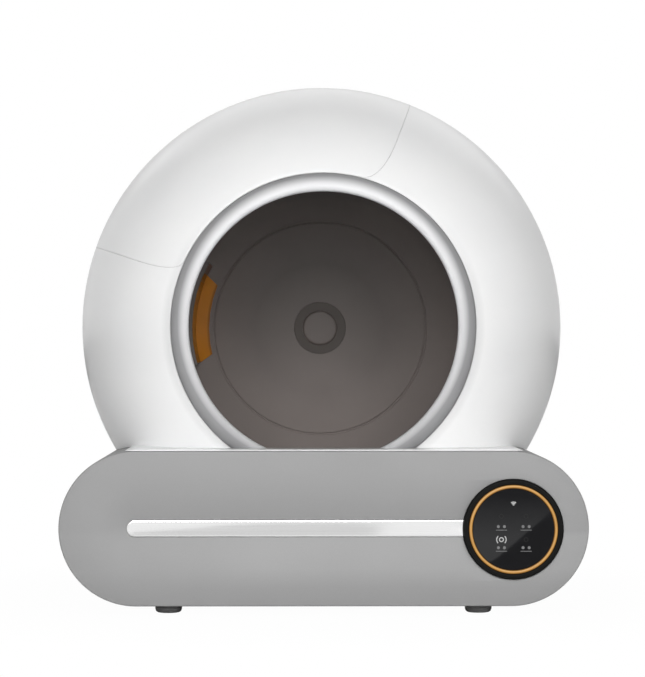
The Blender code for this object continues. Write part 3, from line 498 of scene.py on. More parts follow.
# %% [markdown]
# ### Display
# The display is smoked glass over black. It is smooth, so only faint smudges show
# in its roughness. The ring round it is a light guide: it glows, a little unevenly,
# because its lamps sit at a few places behind it, and fades towards its two edges.

# %% Display finishes
smoked_glass = new_finish("smoked_glass", (0.010, 0.010, 0.011), 0.03, Specular_IOR_Level=0.22)
grain(smoked_glass, (70, 4.0, 0.6), (0.015, 0.030))
grain(smoked_glass, (500, 1.0), bump=(0.000004, 0.2))

pod_black = new_finish("pod_black", (0.0065, 0.0065, 0.006), 0.55, Specular_IOR_Level=0.05)
grain(pod_black, (1800, 2.0), (0.50, 0.60), bump=(0.00002, 0.3))

ring_glow = new_finish("ring_glow", (0.06, 0.03, 0.01), 0.40, Emission_Strength=1.0)
guide_low, guide_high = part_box("light_ring")
guide_middle = [(low + high) / 2 for low, high in zip(guide_low, guide_high)]
guide_radius = 0.04505
lamps = noise(ring_glow, object_place(ring_glow), 45, 2.0)
bright = mottle(ring_glow, lamps, (0.46, 0.23, 0.036), (0.54, 0.28, 0.050))
centred = object_place(ring_glow, (1, 0, 1), (-guide_middle[0], 0, -guide_middle[2]))
inwards = work_out(ring_glow, "SUBTRACT", reach_of(ring_glow, centred), guide_radius)
edge_share = spread(ring_glow, work_out(ring_glow, "ABSOLUTE", inwards), 0.0, 1.0, 0.0006, 0.0016)
feed(ring_glow, blend_colours(ring_glow, edge_share, bright, (0.17, 0.065, 0.004)), "Emission Color")
grain(ring_glow, (1500, 1.0), bump=(0.00001, 0.3))


def mark_finish(name, grey, dark, light, shine=0.5):
    """A printed mark that glows, a little unevenly."""
    finish = new_finish(name, (grey,) * 3, 0.45, Specular_IOR_Level=shine, Emission_Strength=1.0)
    grain(finish, (400, 2.0), colours=(dark, light), socket="Emission Color")
    return finish


mark_light = mark_finish("mark_light", 0.10, (0.32, 0.32, 0.32), (0.40, 0.40, 0.40))
mark_faint = mark_finish("mark_faint", 0.06, (0.060, 0.060, 0.062), (0.100, 0.100, 0.102))
mark_off = mark_finish("mark_off", 0.006, (0.004, 0.004, 0.004), (0.008, 0.008, 0.008), 0.1)

# %% [markdown]
# ### Rubber, steel, nylon and circuit board
# These are mostly inside, and show when the hatch or the drawer is off. Rubber is
# dry and slightly mottled. Steel has a fine roll grain. Nylon is milky, so a little
# light goes into it. The board is green solder resist with copper tracks showing
# as a pattern of right angles under it.

# %% Rubber, steel, nylon and circuit board
rubber_black = new_finish("rubber_black", (0.150, 0.150, 0.150), 0.75)
grain(rubber_black, (900, 3.0, 0.6), (0.68, 0.84), ((0.135, 0.135, 0.135), (0.165, 0.164, 0.162)),
      (0.00005, 0.4))

steel_plain = new_finish("steel_plain", (0.50, 0.51, 0.52), 0.32, 1.0)
grain(steel_plain, (1.0, 3.0), (0.26, 0.42), ((0.46, 0.47, 0.48), (0.54, 0.55, 0.56)), (0.00002, 0.3),
      (40, 2400, 40))

nylon_milky = new_finish("nylon_milky", (0.66, 0.65, 0.60), 0.42, Subsurface_Weight=0.08,
                         Subsurface_Radius=(0.003, 0.003, 0.002))
grain(nylon_milky, (220, 3.0), (0.36, 0.50), ((0.63, 0.62, 0.57), (0.69, 0.68, 0.63)), (0.00003, 0.3))

board_green = new_finish("board_green", (0.015, 0.10, 0.045), 0.35, Coat_Weight=0.3, Coat_Roughness=0.2)
tracks = add_node(board_green, "TexBrick",
                  {"Vector": object_place(board_green), "Scale": 90.0, "Mortar Size": 0.03,
                   "Color1": (0.012, 0.085, 0.038, 1), "Color2": (0.016, 0.105, 0.048, 1),
                   "Mortar": (0.05, 0.17, 0.07, 1)})
feed(board_green, tracks.outputs["Color"], "Base Color")
feed(board_green, lift(board_green, tracks.outputs["Fac"], 0.00004, 0.4), "Normal")
grain(board_green, (300, 2.0), (0.3, 0.42))

# %% [markdown]
# The pieces that stay as they were packed get the same finishes, by the material
# slot that the record gives each of them.

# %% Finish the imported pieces
slot_finishes = {"white_shell": shell_white, "grey_base": base_grey, "satin_trim": strip_satin,
                 "drum_plastic": drum_grey, "orange_plastic": sieve_orange, "black_gloss": pod_black,
                 "ring_light": ring_glow, "rubber": rubber_black, "steel": steel_plain,
                 "nylon": nylon_milky, "circuit_board": board_green}
for entry in frame["record"]["subparts"]:
    node = frame["nodes"][entry["node"]]
    for slot in node.material_slots:
        slot.material = slot_finishes[entry["material_slot"]]

# %% [markdown]
# ## White housing
# The housing is two bulged shells that meet at the widest place, like the halves of
# an egg. Their profiles are superellipses: an ordinary ellipse has an exponent of
# 2, and a larger one fills the corners more. The outer curve, the collar that the
# entrance ring sits on and the inner curve form one closed profile, so the turned
# shell has its wall thickness at once.

# %% The housing's sizes and its bulged curve
housing_radius, housing_wall, half_seam = 0.2725, 0.003, 0.00012
front_reach, front_fullness = 0.245, 2.3
rear_reach, rear_fullness = 0.258, 3.0
ring_outer, ring_inner = 0.164, 0.1444
seat_gap = 0.0003
beyond = 0.28


def reach_at(reach, radius, fullness, out):
    """How far a bulged curve stands from its widest place, where it has a radius."""
    return reach * (1 - (out / radius) ** fullness) ** (1 / fullness)


def bulge(reach, radius, fullness, stop_radius, side, steps=40):
    """Places from the widest one to a smaller radius, towards one side."""
    end = math.acos((stop_radius / radius) ** (fullness / 2))
    places = [(radius, side * half_seam)]
    for step in range(1, steps + 1):
        angle = end * step / steps
        places.append((radius * math.cos(angle) ** (2 / fullness),
                       side * reach * math.sin(angle) ** (2 / fullness)))
    return places


def inner_bulge(reach, fullness, stop_y, side):
    """The curve one wall inside a bulged one, back from where it has a given y."""
    reach, radius = reach - housing_wall, housing_radius - housing_wall
    stop_radius = reach_at(radius, reach, fullness, abs(stop_y))
    return list(reversed(bulge(reach, radius, fullness, stop_radius, side, 16)))


collar_front = -reach_at(front_reach, housing_radius, front_fullness, ring_outer) + housing_wall
collar_thickness = 0.0037
collar_back = collar_front + collar_thickness
print("the collar's face is at y = %.4f" % collar_front)

# %% [markdown]
# A turned wall is cut by the base below it. The base's outline is a stadium: two
# half circles joined by straight lines. It is drawn as by hand. Half a circle is
# spun from one point, the last point is extruded across, the other half is spun,
# and the ring of edges closes on itself.

# %% A stadium ring of edges, and walls extruded from it
base_end_x, base_middle_z, base_radius = 0.1979, 0.0919, 0.0821


def select_where(piece, test):
    """In edit mode, select only the points that pass a test."""
    mesh = bmesh.from_edit_mesh(piece.data)
    for point in mesh.verts:
        point.select_set(test(point))
    mesh.select_flush_mode()
    bmesh.update_edit_mesh(piece.data)


def stadium_ring(name, radius, y, steps=64):
    """A closed stadium of edges; its last ring stays selected."""
    piece = draw_profile(name, [(-base_end_x, y, base_middle_z - radius)])
    bpy.ops.mesh.select_all(action="SELECT")
    bpy.ops.mesh.spin(steps=steps, angle=math.pi, center=(-base_end_x, y, base_middle_z), axis=(0, -1, 0))
    bpy.ops.mesh.extrude_vertices_move(TRANSFORM_OT_translate={"value": (2 * base_end_x, 0, 0)})
    bpy.ops.mesh.spin(steps=steps, angle=math.pi, center=(base_end_x, y, base_middle_z), axis=(0, -1, 0))
    bpy.ops.mesh.select_all(action="SELECT")
    bpy.ops.mesh.remove_doubles(threshold=merge_distance)
    select_where(piece, lambda point: point.co.z < base_middle_z - radius * 0.9999)
    bpy.ops.mesh.edge_face_add()
    bpy.ops.mesh.select_all(action="SELECT")
    return piece


def select_ring(piece, ring, side=0):
    """In edit mode, select the points of a ring, or only those on one side."""
    bpy.ops.mesh.select_all(action="DESELECT")
    mesh = bmesh.from_edit_mesh(piece.data)
    mesh.verts.ensure_lookup_table()
    for number in ring:
        mesh.verts[number].select_set(not side or mesh.verts[number].co.x * side > 0)
    mesh.select_flush_mode()


def next_ring(piece, old_radius, new_radius, old_y, new_y):
    """Extrude the selected ring to a new y and scale each end about its own middle."""
    bpy.ops.mesh.extrude_edges_move(TRANSFORM_OT_translate={"value": (0, new_y - old_y, 0)})
    if abs(new_radius - old_radius) < 1e-7:
        return
    size = new_radius / old_radius
    ring = [point.index for point in bmesh.from_edit_mesh(piece.data).verts if point.select]
    for side in (-1, 1):
        select_ring(piece, ring, side)
        bpy.ops.transform.resize(value=(size, 1, size),
                                 center_override=(side * base_end_x, new_y, base_middle_z))
    select_ring(piece, ring)
    bpy.ops.mesh.select_mode(type="EDGE")
    bpy.ops.mesh.select_mode(type="VERT")


def stadium_form(name, rings, steps=64):
    """A closed form through stadium rings of (radius, y), capped at both ends."""
    piece = stadium_ring(name, *rings[0], steps)
    bpy.ops.mesh.edge_face_add()
    for (old_radius, old_y), (new_radius, new_y) in zip(rings, rings[1:]):
        next_ring(piece, old_radius, new_radius, old_y, new_y)
    bpy.ops.mesh.edge_face_add()
    tidy_turned()
    leave_edit()
    return piece


base_room = stadium_form("base_room", [(base_radius + seat_gap, -beyond), (base_radius + seat_gap, beyond)])
count_faces(base_room)

# %% [markdown]
# The hatch's outline is drawn on paper first, from the front: two straight edges
# at 68.3 and 160.6 degrees that turn into the arc above the entrance with a round
# corner. The corner is a curve with one bend point. The outline is extruded into a
# prism, and the same prism cuts the hatch out and its opening in, once 0.12 mm
# larger and once 0.12 mm smaller. That leaves the thin seam.

# %% The hatch's outline as a prism
hatch_edges, hatch_inner_edges = (68.3, 160.6), (77.0, 154.5)
hatch_corner_radius, hatch_far_radius = 0.2156, 0.29


def front_place(radius, degrees):
    """A place in the front view, as (x, z) from the drum's axis."""
    angle = math.radians(degrees)
    return (radius * math.cos(angle), radius * math.sin(angle))


def arc_places(radius, start, end, steps):
    """Places along an arc in the front view."""
    return [front_place(radius, start + (end - start) * step / steps) for step in range(steps + 1)]


def corner_places(edge, inner_edge, inner, steps=14):
    """The round corner from a straight edge to the inner arc."""
    bends = (front_place(hatch_corner_radius, edge), front_place(inner, edge), front_place(inner, inner_edge))
    places = []
    for step in range(steps):
        part = step / steps
        shares = ((1 - part) ** 2, 2 * part * (1 - part), part ** 2)
        places.append(tuple(sum(share * place[axis] for share, place in zip(shares, bends))
                            for axis in range(2)))
    return places


def hatch_prism(name, grow):
    """The hatch's outline, grown, from ahead of the housing to its middle."""
    turn = math.degrees(grow / hatch_corner_radius)
    start, end = hatch_edges[0] - turn, hatch_edges[1] + turn
    inner_start, inner_end = hatch_inner_edges[0] - turn, hatch_inner_edges[1] + turn
    inner = ring_outer + 2 * seat_gap - grow
    outline = arc_places(hatch_far_radius, start, end, 24) + corner_places(end, inner_end, inner)
    outline += arc_places(inner, inner_end, inner_start, 48)
    outline += list(reversed(corner_places(start, inner_start, inner)))
    return prism(name, [(x, -beyond, drum_axis_z + z) for x, z in outline], beyond + 0.01)


hatch_inside = hatch_prism("hatch_inside", -half_seam)
hatch_outside = hatch_prism("hatch_outside", half_seam)
count_faces(hatch_outside)

# %% [markdown]
# Now the front shell and the hatch. Both are turned from nearly the same profile,
# and the hatch only lacks the collar. The edges are rounded after the hatch is cut
# out and before the base cuts the foot of the shell, because a bevel goes wrong
# where two cuts make very small faces.

# %% Front shell and hatch
collar_inner, seam_round = 0.150, 0.0003


def front_profile(with_collar):
    """Outer curve, collar or plain edge, and inner curve, as one closed line."""
    edge = ring_outer + seat_gap
    outer = bulge(front_reach, housing_radius, front_fullness, edge, -1)
    inner = inner_bulge(front_reach, front_fullness, collar_back, -1)
    middle = [(edge, collar_back)]
    if with_collar:
        middle = [(edge, collar_front), (collar_inner, collar_front), (collar_inner, collar_back)]
    return outer + middle + inner + outer[:1]


front_shell = turn_profile("shell_front", front_profile(True))
cut_with(hatch_outside, front_shell)
round_edges(front_shell, seam_round)
cut_away(front_shell, base_room)
complete(front_shell, shell_white, "housing", "white_shell", "front_shell")

hatch = turn_profile("shell_hatch", front_profile(False))
cut_away(hatch, hatch_inside, "INTERSECT")
drop(hatch_inside)
round_edges(hatch, seam_round)
complete(hatch, shell_white, "hatch", "white_shell", "top_hatch")

# %% [markdown]
# The rear shell has a shallow round recess at its middle, with a service cover held
# by three screws. The screws are good as packed. Their holes go through the cover
# and the ledge behind it. A fine groove runs round near the cover's edge.

# %% Rear shell and service cover
def groove_places(radius, half, floor_half, face_y, floor_y):
    """A groove in a turned face, drawn inwards, or outwards where the halves are negative."""
    return [(radius + half, face_y), (radius + floor_half, floor_y), (radius - floor_half, floor_y),
            (radius - half, face_y)]


cover_radius, cover_thickness, ledge_radius = 0.0997, 0.0032, 0.085
screw_angles, screw_circle, screw_hole = (90, 210, 330), 0.0925, 0.0021
ledge_y = reach_at(rear_reach, housing_radius, rear_fullness, cover_radius) - cover_thickness
outer = bulge(rear_reach, housing_radius, rear_fullness, cover_radius + seat_gap, 1)
inner = inner_bulge(rear_reach, rear_fullness, ledge_y - housing_wall, 1)
recess = [(cover_radius + seat_gap, ledge_y), (ledge_radius, ledge_y), (ledge_radius, ledge_y - housing_wall)]
rear_shell = turn_profile("shell_rear", outer + recess + inner + outer[:1])
round_edges(rear_shell, 0.0004)

cover_front, cover_back = ledge_y + seat_gap, ledge_y + cover_thickness
cover_side = [(0, cover_front), (cover_radius, cover_front), (cover_radius, cover_back)]
cover_groove = groove_places(0.086, 0.002, 0.001, cover_back, cover_back - 0.0006)
rear_cover = turn_profile("service_cover", cover_side + cover_groove + [(0, cover_back)])
round_edges(rear_cover, 0.0005)
for degrees in screw_angles:
    x, z = front_place(screw_circle, degrees)
    hole = round_tool("screw_hole", screw_hole, 0.03, (x, ledge_y, drum_axis_z + z))
    cut_with(hole, rear_cover, rear_shell)
cut_away(rear_shell, base_room)
complete(rear_shell, shell_white, "housing", "white_shell", "rear_shell")
complete(rear_cover, shell_white, "housing", "white_shell", "rear_cover")

# %% [markdown]
# ## Entrance ring
# The ring is a convex roll of satin metal. Ten places give its cross-section, and a
# smooth curve is drawn through them, so the highlight slides round the roll with
# no steps. A rubber lip seal sits behind the collar that carries the ring.

# %% A smooth curve through a few places
def smooth_line(places, steps=6):
    """Places on a smooth curve that goes through each of the given ones."""
    line = []
    ends = [places[0]] + list(places) + [places[-1]]
    for before, start, end, after in zip(ends, ends[1:], ends[2:], ends[3:]):
        for step in range(steps):
            t = step / steps
            line.append(tuple(0.5 * (2 * b + (c - a) * t + (2 * a - 5 * b + 4 * c - d) * t * t
                                     + (3 * b - a - 3 * c + d) * t ** 3)
                              for a, b, c, d in zip(before, start, end, after)))
    return line + [tuple(places[-1])]


ring_back, ring_height = collar_front - seat_gap, 0.0130
ring_width = ring_outer - ring_inner
roll_shares = ((1.0, 0.12), (0.99, 0.34), (0.93, 0.56), (0.80, 0.78), (0.62, 0.93), (0.42, 0.995),
               (0.22, 0.95), (0.08, 0.80), (0.01, 0.62), (0.0, 0.50))
roll = smooth_line([(ring_inner + out * ring_width, ring_back - up * ring_height) for out, up in roll_shares])
print("the ring stands", round(1000 * (ring_back - min(y for radius, y in roll)), 1), "mm proud")

# %% Entrance ring and lip seal
profile = [(ring_outer, ring_back)] + roll + [(ring_inner, ring_back), (ring_outer, ring_back)]
entrance_ring = turn_profile("ring_entrance", profile, 256)
cut_away(entrance_ring, base_room)
complete(entrance_ring, ring_satin, "housing", "satin_trim", "entrance_ring", degrees=40)

seal_outer, seal_inner, seal_front = 0.156, 0.1515, collar_back + seat_gap
seal_middle, seal_step = (seal_outer + seal_inner) / 2, 0.0035
seal = turn_profile("lip_seal", [
    (seal_outer, seal_front), (seal_outer, seal_front + seal_step), (seal_middle, seal_front + 2 * seal_step),
    (seal_inner, seal_front + seal_step), (seal_inner, seal_front), (seal_outer, seal_front)])
round_edges(seal, 0.0006)
cut_away(seal, base_room)
complete(seal, rubber_black, "housing", "rubber", "drum_seal")

# %% [markdown]
# ## Drum
# The drum has a quarter-round front dome with a thick lip, a straight barrel and a
# flat back wall. All of it turns, so all of it rides on the drum's body.

# %% Drum front, barrel and back wall
drum_radius, drum_wall = 0.216, 0.003
lip_clearance, lip_thickness, lip_gap, dome_depth = 0.0036, 0.0055, 0.0086, 0.063
lip_inner = ring_inner + lip_clearance
lip_outer = lip_inner + lip_thickness
lip_y = collar_back + lip_gap
shoulder_y = lip_y + dome_depth
drum_back_y = 0.170
drum_end_y = drum_back_y + drum_wall


def dome(lip_radius, radius, lip, steps=24):
    """A quarter round from the drum's shoulder to its lip."""
    angles = [math.pi / 2 * step / steps for step in range(steps + 1)]
    return [(lip_radius + (radius - lip_radius) * math.cos(angle),
             shoulder_y - (shoulder_y - lip) * math.sin(angle)) for angle in angles]


room_in_drum = drum_radius - drum_wall
profile = list(reversed(dome(lip_outer, drum_radius, lip_y)))
profile += dome(lip_inner, room_in_drum, lip_y + drum_wall) + [(lip_inner, lip_y), (lip_outer, lip_y)]
drum_front = turn_profile("drum_dome", profile)
round_edges(drum_front, 0.0008)

barrel_front, barrel_back = shoulder_y + seat_gap, drum_back_y - seat_gap
barrel = turn_profile("drum_wall", box_profile(room_in_drum, drum_radius, barrel_front, barrel_back))
port_front, port_length, port_start, port_end = 0.052, 0.106, 108, 140
port = arc_places(0.226, port_start, port_end, 8) + [front_place(0.15, port_end), front_place(0.15, port_start)]
cut_with(prism("port_room", [(x, port_front, drum_axis_z + z) for x, z in port], port_length), barrel)
round_edges(barrel, 0.0006)

hub_hole = 0.0313
wall_side = [(drum_radius, drum_back_y), (drum_radius, drum_end_y), (hub_hole, drum_end_y), (hub_hole, drum_back_y)]
wall_groove = groove_places(0.128, -0.0014, -0.0010, drum_back_y, drum_back_y + 0.0018)
back_wall = turn_profile("drum_back_wall", wall_side + wall_groove + wall_side[:1])
round_edges(back_wall, 0.0002, 1)
for piece, name in ((drum_front, "drum_front"), (barrel, "drum_barrel"), (back_wall, "drum_back")):
    complete(piece, drum_grey, "drum", "drum_plastic", name)

# %% [markdown]
# The hub at the middle of the back wall is a dark ring with a domed cap in it. The
# cap hides the screw of the spindle. The gaps round both are as fine as a hair, so
# no light comes through them from behind.

# %% Hub ring and cap
hair_gap = 0.00004
hub_sink = 0.0014
hub_outer, cap_hole, hub_face = hub_hole - hair_gap, 0.0211, drum_back_y + hub_sink
hub_ring = turn_profile("hub_seat", box_profile(cap_hole, hub_outer, hub_face, drum_end_y), 128)
round_edges(hub_ring, 0.0002, 1)
complete(hub_ring, hub_dark, "drum", "rubber", "hub_ring")

cap_outer = cap_hole - hair_gap
cap_places = ((0.0, -0.0012), (0.012, -0.00115), (0.0180, -0.0008), (0.0200, 0.0001))
cap_line = smooth_line([(out, drum_back_y + back) for out, back in cap_places] + [(cap_outer, hub_face)], 5)
hub_cap = turn_profile("hub_button", cap_line + [(cap_outer, drum_end_y), (0, drum_end_y)], 128)
complete(hub_cap, drum_grey, "drum", "drum_plastic", "hub_cap", degrees=40)

# %% [markdown]
# The scoop pocket and the sieve were packed as they are in the real drum, with slots
# along the sieve. They keep their shape. A copy of each is merged and its edges get
# a small round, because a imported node's mesh is loose triangles.

# %% Pocket and sieve with rounded edges
def soften_copy(node_name, name, width, slot, finish):
    """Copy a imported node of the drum, merge it, round its edges and let it stand in."""
    piece = frame["nodes"][node_name].copy()
    piece.data = piece.data.copy()
    bpy.context.scene.collection.objects.link(piece)
    piece.parent = None
    pick(piece)
    name_piece(name)
    enter_edit(piece)
    bpy.ops.mesh.remove_doubles(threshold=2 * merge_distance)
    bpy.ops.mesh.dissolve_limited(angle_limit=math.radians(0.5))
    leave_edit()
    round_edges(piece, width, 2, 30)
    piece.data.materials.clear()
    complete(piece, finish, "drum", slot, node_name, degrees=30)


soften_copy("drum_pocket", "scoop_pocket", 0.0006, "drum_plastic", pocket_warm)
soften_copy("drum_sieve", "litter_sieve", 0.0004, "orange_plastic", sieve_orange)

# %% [markdown]
# ## Base
# The base is one long casing with a stadium section, open at the front for the
# drawer, at the top for the drum and at the bottom for air. Its back edge is
# rounded. The room inside is the same stadium, one wall smaller.

# %% Base casing
panel_back_y, casing_front = -0.240, -0.2397
casing_back, edge_round, casing_wall = 0.265, 0.006, 0.003
slide_gap = 0.0012
round_angles = [math.pi / 2 * step / 6 for step in range(1, 7)]
casing = stadium_form("base_shell", [(base_radius, casing_front), (base_radius, casing_back - edge_round)]
                      + [(base_radius - edge_round * (1 - math.cos(angle)),
                          casing_back - edge_round * (1 - math.sin(angle))) for angle in round_angles])
room_inside = base_radius - casing_wall
room_front, room_back = casing_front + casing_wall, casing_back - edge_round
cut_with(stadium_form("casing_room", [(room_inside, room_front), (room_inside, room_back)]), casing)


def box_between(name, low, high):
    """A plain box between two corners."""
    clear_selection()
    bpy.ops.mesh.primitive_cube_add(size=1, location=[(a + b) / 2 for a, b in zip(low, high)],
                                    scale=[b - a for a, b in zip(low, high)])
    piece = name_piece(name)
    settle(piece)
    return piece


tray_low, tray_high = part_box("waste_tray")
frame_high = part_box("bag_frame")[1]
cut_with(box_between("drawer_room", (tray_low[0] - slide_gap, -beyond, tray_low[2] - slide_gap),
                     (tray_high[0] + slide_gap, room_front + seat_gap, frame_high[2] + slide_gap)), casing)
floor_room_low, floor_room_high = (-0.135, -0.180, 0.002), (0.135, 0.195, 0.0131)
cut_with(box_between("floor_room", floor_room_low, floor_room_high), casing)
round_edges(casing, 0.0005)
count_faces(casing)

# %% [markdown]
# The deck opens where the drum dips into the base. The opening is the drum's own
# shape, 6 mm larger all round, so the drum turns free. Small round holes let the
# feet's stems and the power socket through.

# %% Openings for the drum, the feet and the socket
clear_of_drum = 0.006
room_radius = drum_radius + clear_of_drum
room_lip_y, room_end_y = lip_y - clear_of_drum, drum_end_y + clear_of_drum
curve = list(reversed(dome(lip_outer + clear_of_drum, room_radius, room_lip_y)))
drum_room = turn_profile("drum_room", [(0, room_lip_y)] + curve + [(room_radius, room_end_y), (0, room_end_y)])
cut_away(casing, drum_room)
foot_x, foot_y, stem_radius, socket_radius, hole_gap = 0.1655, 0.215, 0.005, 0.0059, 0.0008
hole_length, stem_hole_z = 0.02, 0.0123
for x in (-foot_x, foot_x):
    for y in (-foot_y, foot_y):
        place = (x, y, stem_hole_z)
        cut_with(round_tool("stem_hole", stem_radius + hole_gap, hole_length, place, 32, 0), casing)
socket_middle = [(low + high) / 2 for low, high in zip(*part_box("power_inlet"))]
place = (socket_middle[0], casing_back, socket_middle[2])
cut_with(round_tool("socket_hole", socket_radius, hole_length, place), casing)
complete(casing, base_grey, "housing", "grey_base", "base_casing")

# %% [markdown]
# The white housing ends in a thin sill that lies on the front of the deck. From the
# front only its edge shows, as a bright line between the grey base and the drum. It
# is the top of a slightly larger stadium, cut off above the deck and open for the drum.

# %% Sill of the housing
sill_thickness, sill_gap, sill_front, sill_back = 0.0009, 0.0001, -0.2562, -0.020
sill_bottom, sill_radius = base_middle_z + base_radius + sill_gap, base_radius + sill_gap + sill_thickness
sill = stadium_form("shell_sill", [(sill_radius, sill_front), (sill_radius, sill_back)])
cut_with(box_between("sill_room", (-0.3, -0.3, 0), (0.3, 0.3, sill_bottom)), sill)
cut_with(drum_room, sill)
round_edges(sill, 0.0002)
complete(sill, shell_white, "housing", "white_shell")

# %% [markdown]
# The front panel belongs to the drawer. Its face swells in a soft roll from the rim
# and falls into a channel along the middle, where the strip lies. The rings of the
# face follow a smooth curve through a few shares of its width and height, and the
# form goes on round the rim to the hollow back. The channel and the strip reach a
# little further at the left end than the round rim asks, as in the photograph.

# %% Front panel of the drawer
crest_y, roll_height, channel = -0.2625, 0.0080, 0.0092
face_shares = ((0.0, 1.0), (0.15, 0.686), (0.30, 0.464), (0.42, 0.353), (0.54, 0.300), (0.66, 0.307),
               (0.78, 0.372), (0.88, 0.472), (0.95, 0.566), (0.984, 0.625), (0.995, 0.74), (1.0, 1.0))
face = [(channel + out * (base_radius - channel), crest_y + down * roll_height)
        for out, down in smooth_line(face_shares, 4)]
panel_rim, channel_depth, hollow_y = 0.004, 0.002, -0.250
rim_inside = base_radius - panel_rim
panel = stadium_form("drawer_panel", [(channel, crest_y + roll_height + channel_depth)] + face + [
    (base_radius, panel_back_y), (rim_inside, panel_back_y), (rim_inside, hollow_y)])
count_faces(panel)

strip_shift, shift_reach, face_limit_y = 0.0014, 0.030, -0.251
enter_edit(panel)
mesh = bmesh.from_edit_mesh(panel.data)
for point in mesh.verts:
    out = math.hypot(point.co.x + base_end_x, point.co.z - base_middle_z)
    if point.co.x < 2 * merge_distance - base_end_x and point.co.y < face_limit_y:
        point.co.x -= strip_shift * min(1, max(0, 1 - (out - channel) / shift_reach))
bmesh.update_edit_mesh(panel.data)

# %% [markdown]
# The round hole for the display is cut through the panel's right end. A few upright
# lines are drawn across the panel first, the last of them close to the hole. They
# keep the long faces of the roll flat where the cut would bend their shading.

# %% Hole for the display
pod_x, pod_z, pod_radius = base_end_x + 0.0017, base_middle_z - 0.0006, 0.0525
beside_pod = pod_x - pod_radius - 0.0018
for across in (-0.18, 0.0, 0.10, beside_pod):
    bpy.ops.mesh.select_all(action="SELECT")
    bpy.ops.mesh.bisect(plane_co=(across, 0, 0), plane_no=(1, 0, 0))
leave_edit()
pod_room = round_tool("pod_room", pod_radius + hole_gap, 0.08, (pod_x, -0.255, pod_z), fine_steps)
cut_away(panel, pod_room)
round_edges(panel, 0.0005, 2, 40)
complete(panel, base_grey, "drawer", "grey_base", "drawer_front", degrees=40)

# %% [markdown]
# The strip is a drawn metal bar with a slightly crowned face, so the reflections in
# it bend a little. It stops at the display, where the same round tool cuts it.

# %% Satin strip
strip_radius, strip_face, strip_back, crown_height = 0.0090, -0.2553, -0.2528, 0.00012
crown_shares = (0.92, 0.8, 0.6, 0.4, 0.2, 0.05)
crown = [(strip_radius * share, strip_face + crown_height * share ** 2) for share in crown_shares]
strip = stadium_form("trim_strip", [(strip_radius, strip_back), (strip_radius, strip_face + 0.0008),
                     (strip_radius - 0.0002, strip_face + 0.0004)] + crown, 32)
enter_edit(strip)
select_where(strip, lambda point: point.co.x < 0)
bpy.ops.transform.translate(value=(-strip_shift, 0, 0))
leave_edit()
cut_with(pod_room, strip)
complete(strip, strip_satin, "drawer", "satin_trim", "front_strip", degrees=50)

# %% [markdown]
# ## Display
# The display stands on the base and passes through the round hole in the panel, so
# it stays behind when the drawer is pulled. It is a cup with a rounded rim, the
# light guide set into it, and the glass inside the guide.

# %% Display pod, light guide and glass
pod_rim_y, pod_floor_y, pod_seat_y = -0.2647, -0.243, -0.2607
pod_inner, seat_inner, guide_outer, guide_inner = 0.0470, 0.0379, 0.0467, 0.0434
guide_back_y, guide_side_y, guide_face_y, guide_round = -0.261, -0.2644, -0.2648, 0.0004
glass_radius, glass_front, glass_back = 0.0431, -0.2647, -0.262
at_pod = (fine_steps, pod_x, pod_z)
pod = turn_profile("display_pod", [
    (0, pod_floor_y), (seat_inner, pod_floor_y), (seat_inner, pod_seat_y), (pod_inner, pod_seat_y),
    (pod_inner, pod_rim_y), (pod_radius, pod_rim_y), (pod_radius, panel_back_y), (0, panel_back_y)], *at_pod)
round_edges(pod, 0.0009, 3)
complete(pod, pod_black, "housing", "black_gloss", "pod_housing")

guide = turn_profile("light_guide", [
    (guide_outer, guide_back_y), (guide_outer, guide_side_y), (guide_outer - guide_round, guide_face_y),
    (0.0450, -0.2650), (guide_inner + guide_round, guide_face_y), (guide_inner, guide_side_y),
    (guide_inner, guide_back_y), (guide_outer, guide_back_y)], *at_pod)
complete(guide, ring_glow, "housing", "ring_light", "light_ring", degrees=50)

glass = turn_profile("display_window", [
    (0, glass_front), (glass_radius - guide_round, glass_front), (glass_radius, glass_front + guide_round),
    (glass_radius, glass_back), (0, glass_back)], *at_pod)
complete(glass, smoked_glass, "housing", "black_gloss", "display_glass")

# %% [markdown]
# The glass shows generic marks: three fanned bars for the connection, a round
# signal mark for the key that is on, three faint round keys that are off, and two
# small blocks over a thin line under each key. Each mark is a thin printed plate.

# %% How a mark is printed
print_back, print_front = glass_front - 0.00002, glass_front - 0.00014
same_place = 1e-6


def printed_bar(name, x, z, width, height):
    """A flat bar with round ends on the glass."""
    piece = box_between(name, (x - width / 2, print_front, z - height / 2),
                        (x + width / 2, print_back, z + height / 2))
    bpy.ops.object.mode_set(mode="EDIT")
    mesh = bmesh.from_edit_mesh(piece.data)
    for edge in mesh.edges:
        ends = [point.co for point in edge.verts]
        edge.select_set(abs(ends[0].x - ends[1].x) < same_place and abs(ends[0].z - ends[1].z) < same_place)
    bmesh.update_edit_mesh(piece.data)
    bpy.ops.mesh.bevel(offset=min(width, height) * 0.45, segments=4, affect="EDGES")
    leave_edit()
    return piece


def printed_arc(name, x, z, radius, width, start, end):
    """A flat arc on the glass, between two angles in degrees."""
    line = box_profile(radius - width / 2, radius + width / 2, print_front, print_back)
    steps = max(8, int(abs(end - start) / 8))
    piece = turn_profile(name, line, steps, x, z, math.radians(start), math.radians(end - start))
    if end - start < 360:
        enter_edit(piece)
        bpy.ops.mesh.select_all(action="DESELECT")
        bpy.ops.mesh.select_non_manifold()
        bpy.ops.mesh.edge_face_add()
        bpy.ops.mesh.select_all(action="DESELECT")
        bpy.ops.mesh.select_non_manifold()
        if any(edge.select for edge in bmesh.from_edit_mesh(piece.data).edges):
            bpy.ops.mesh.fill()
        tidy_turned()
        leave_edit()
    return piece


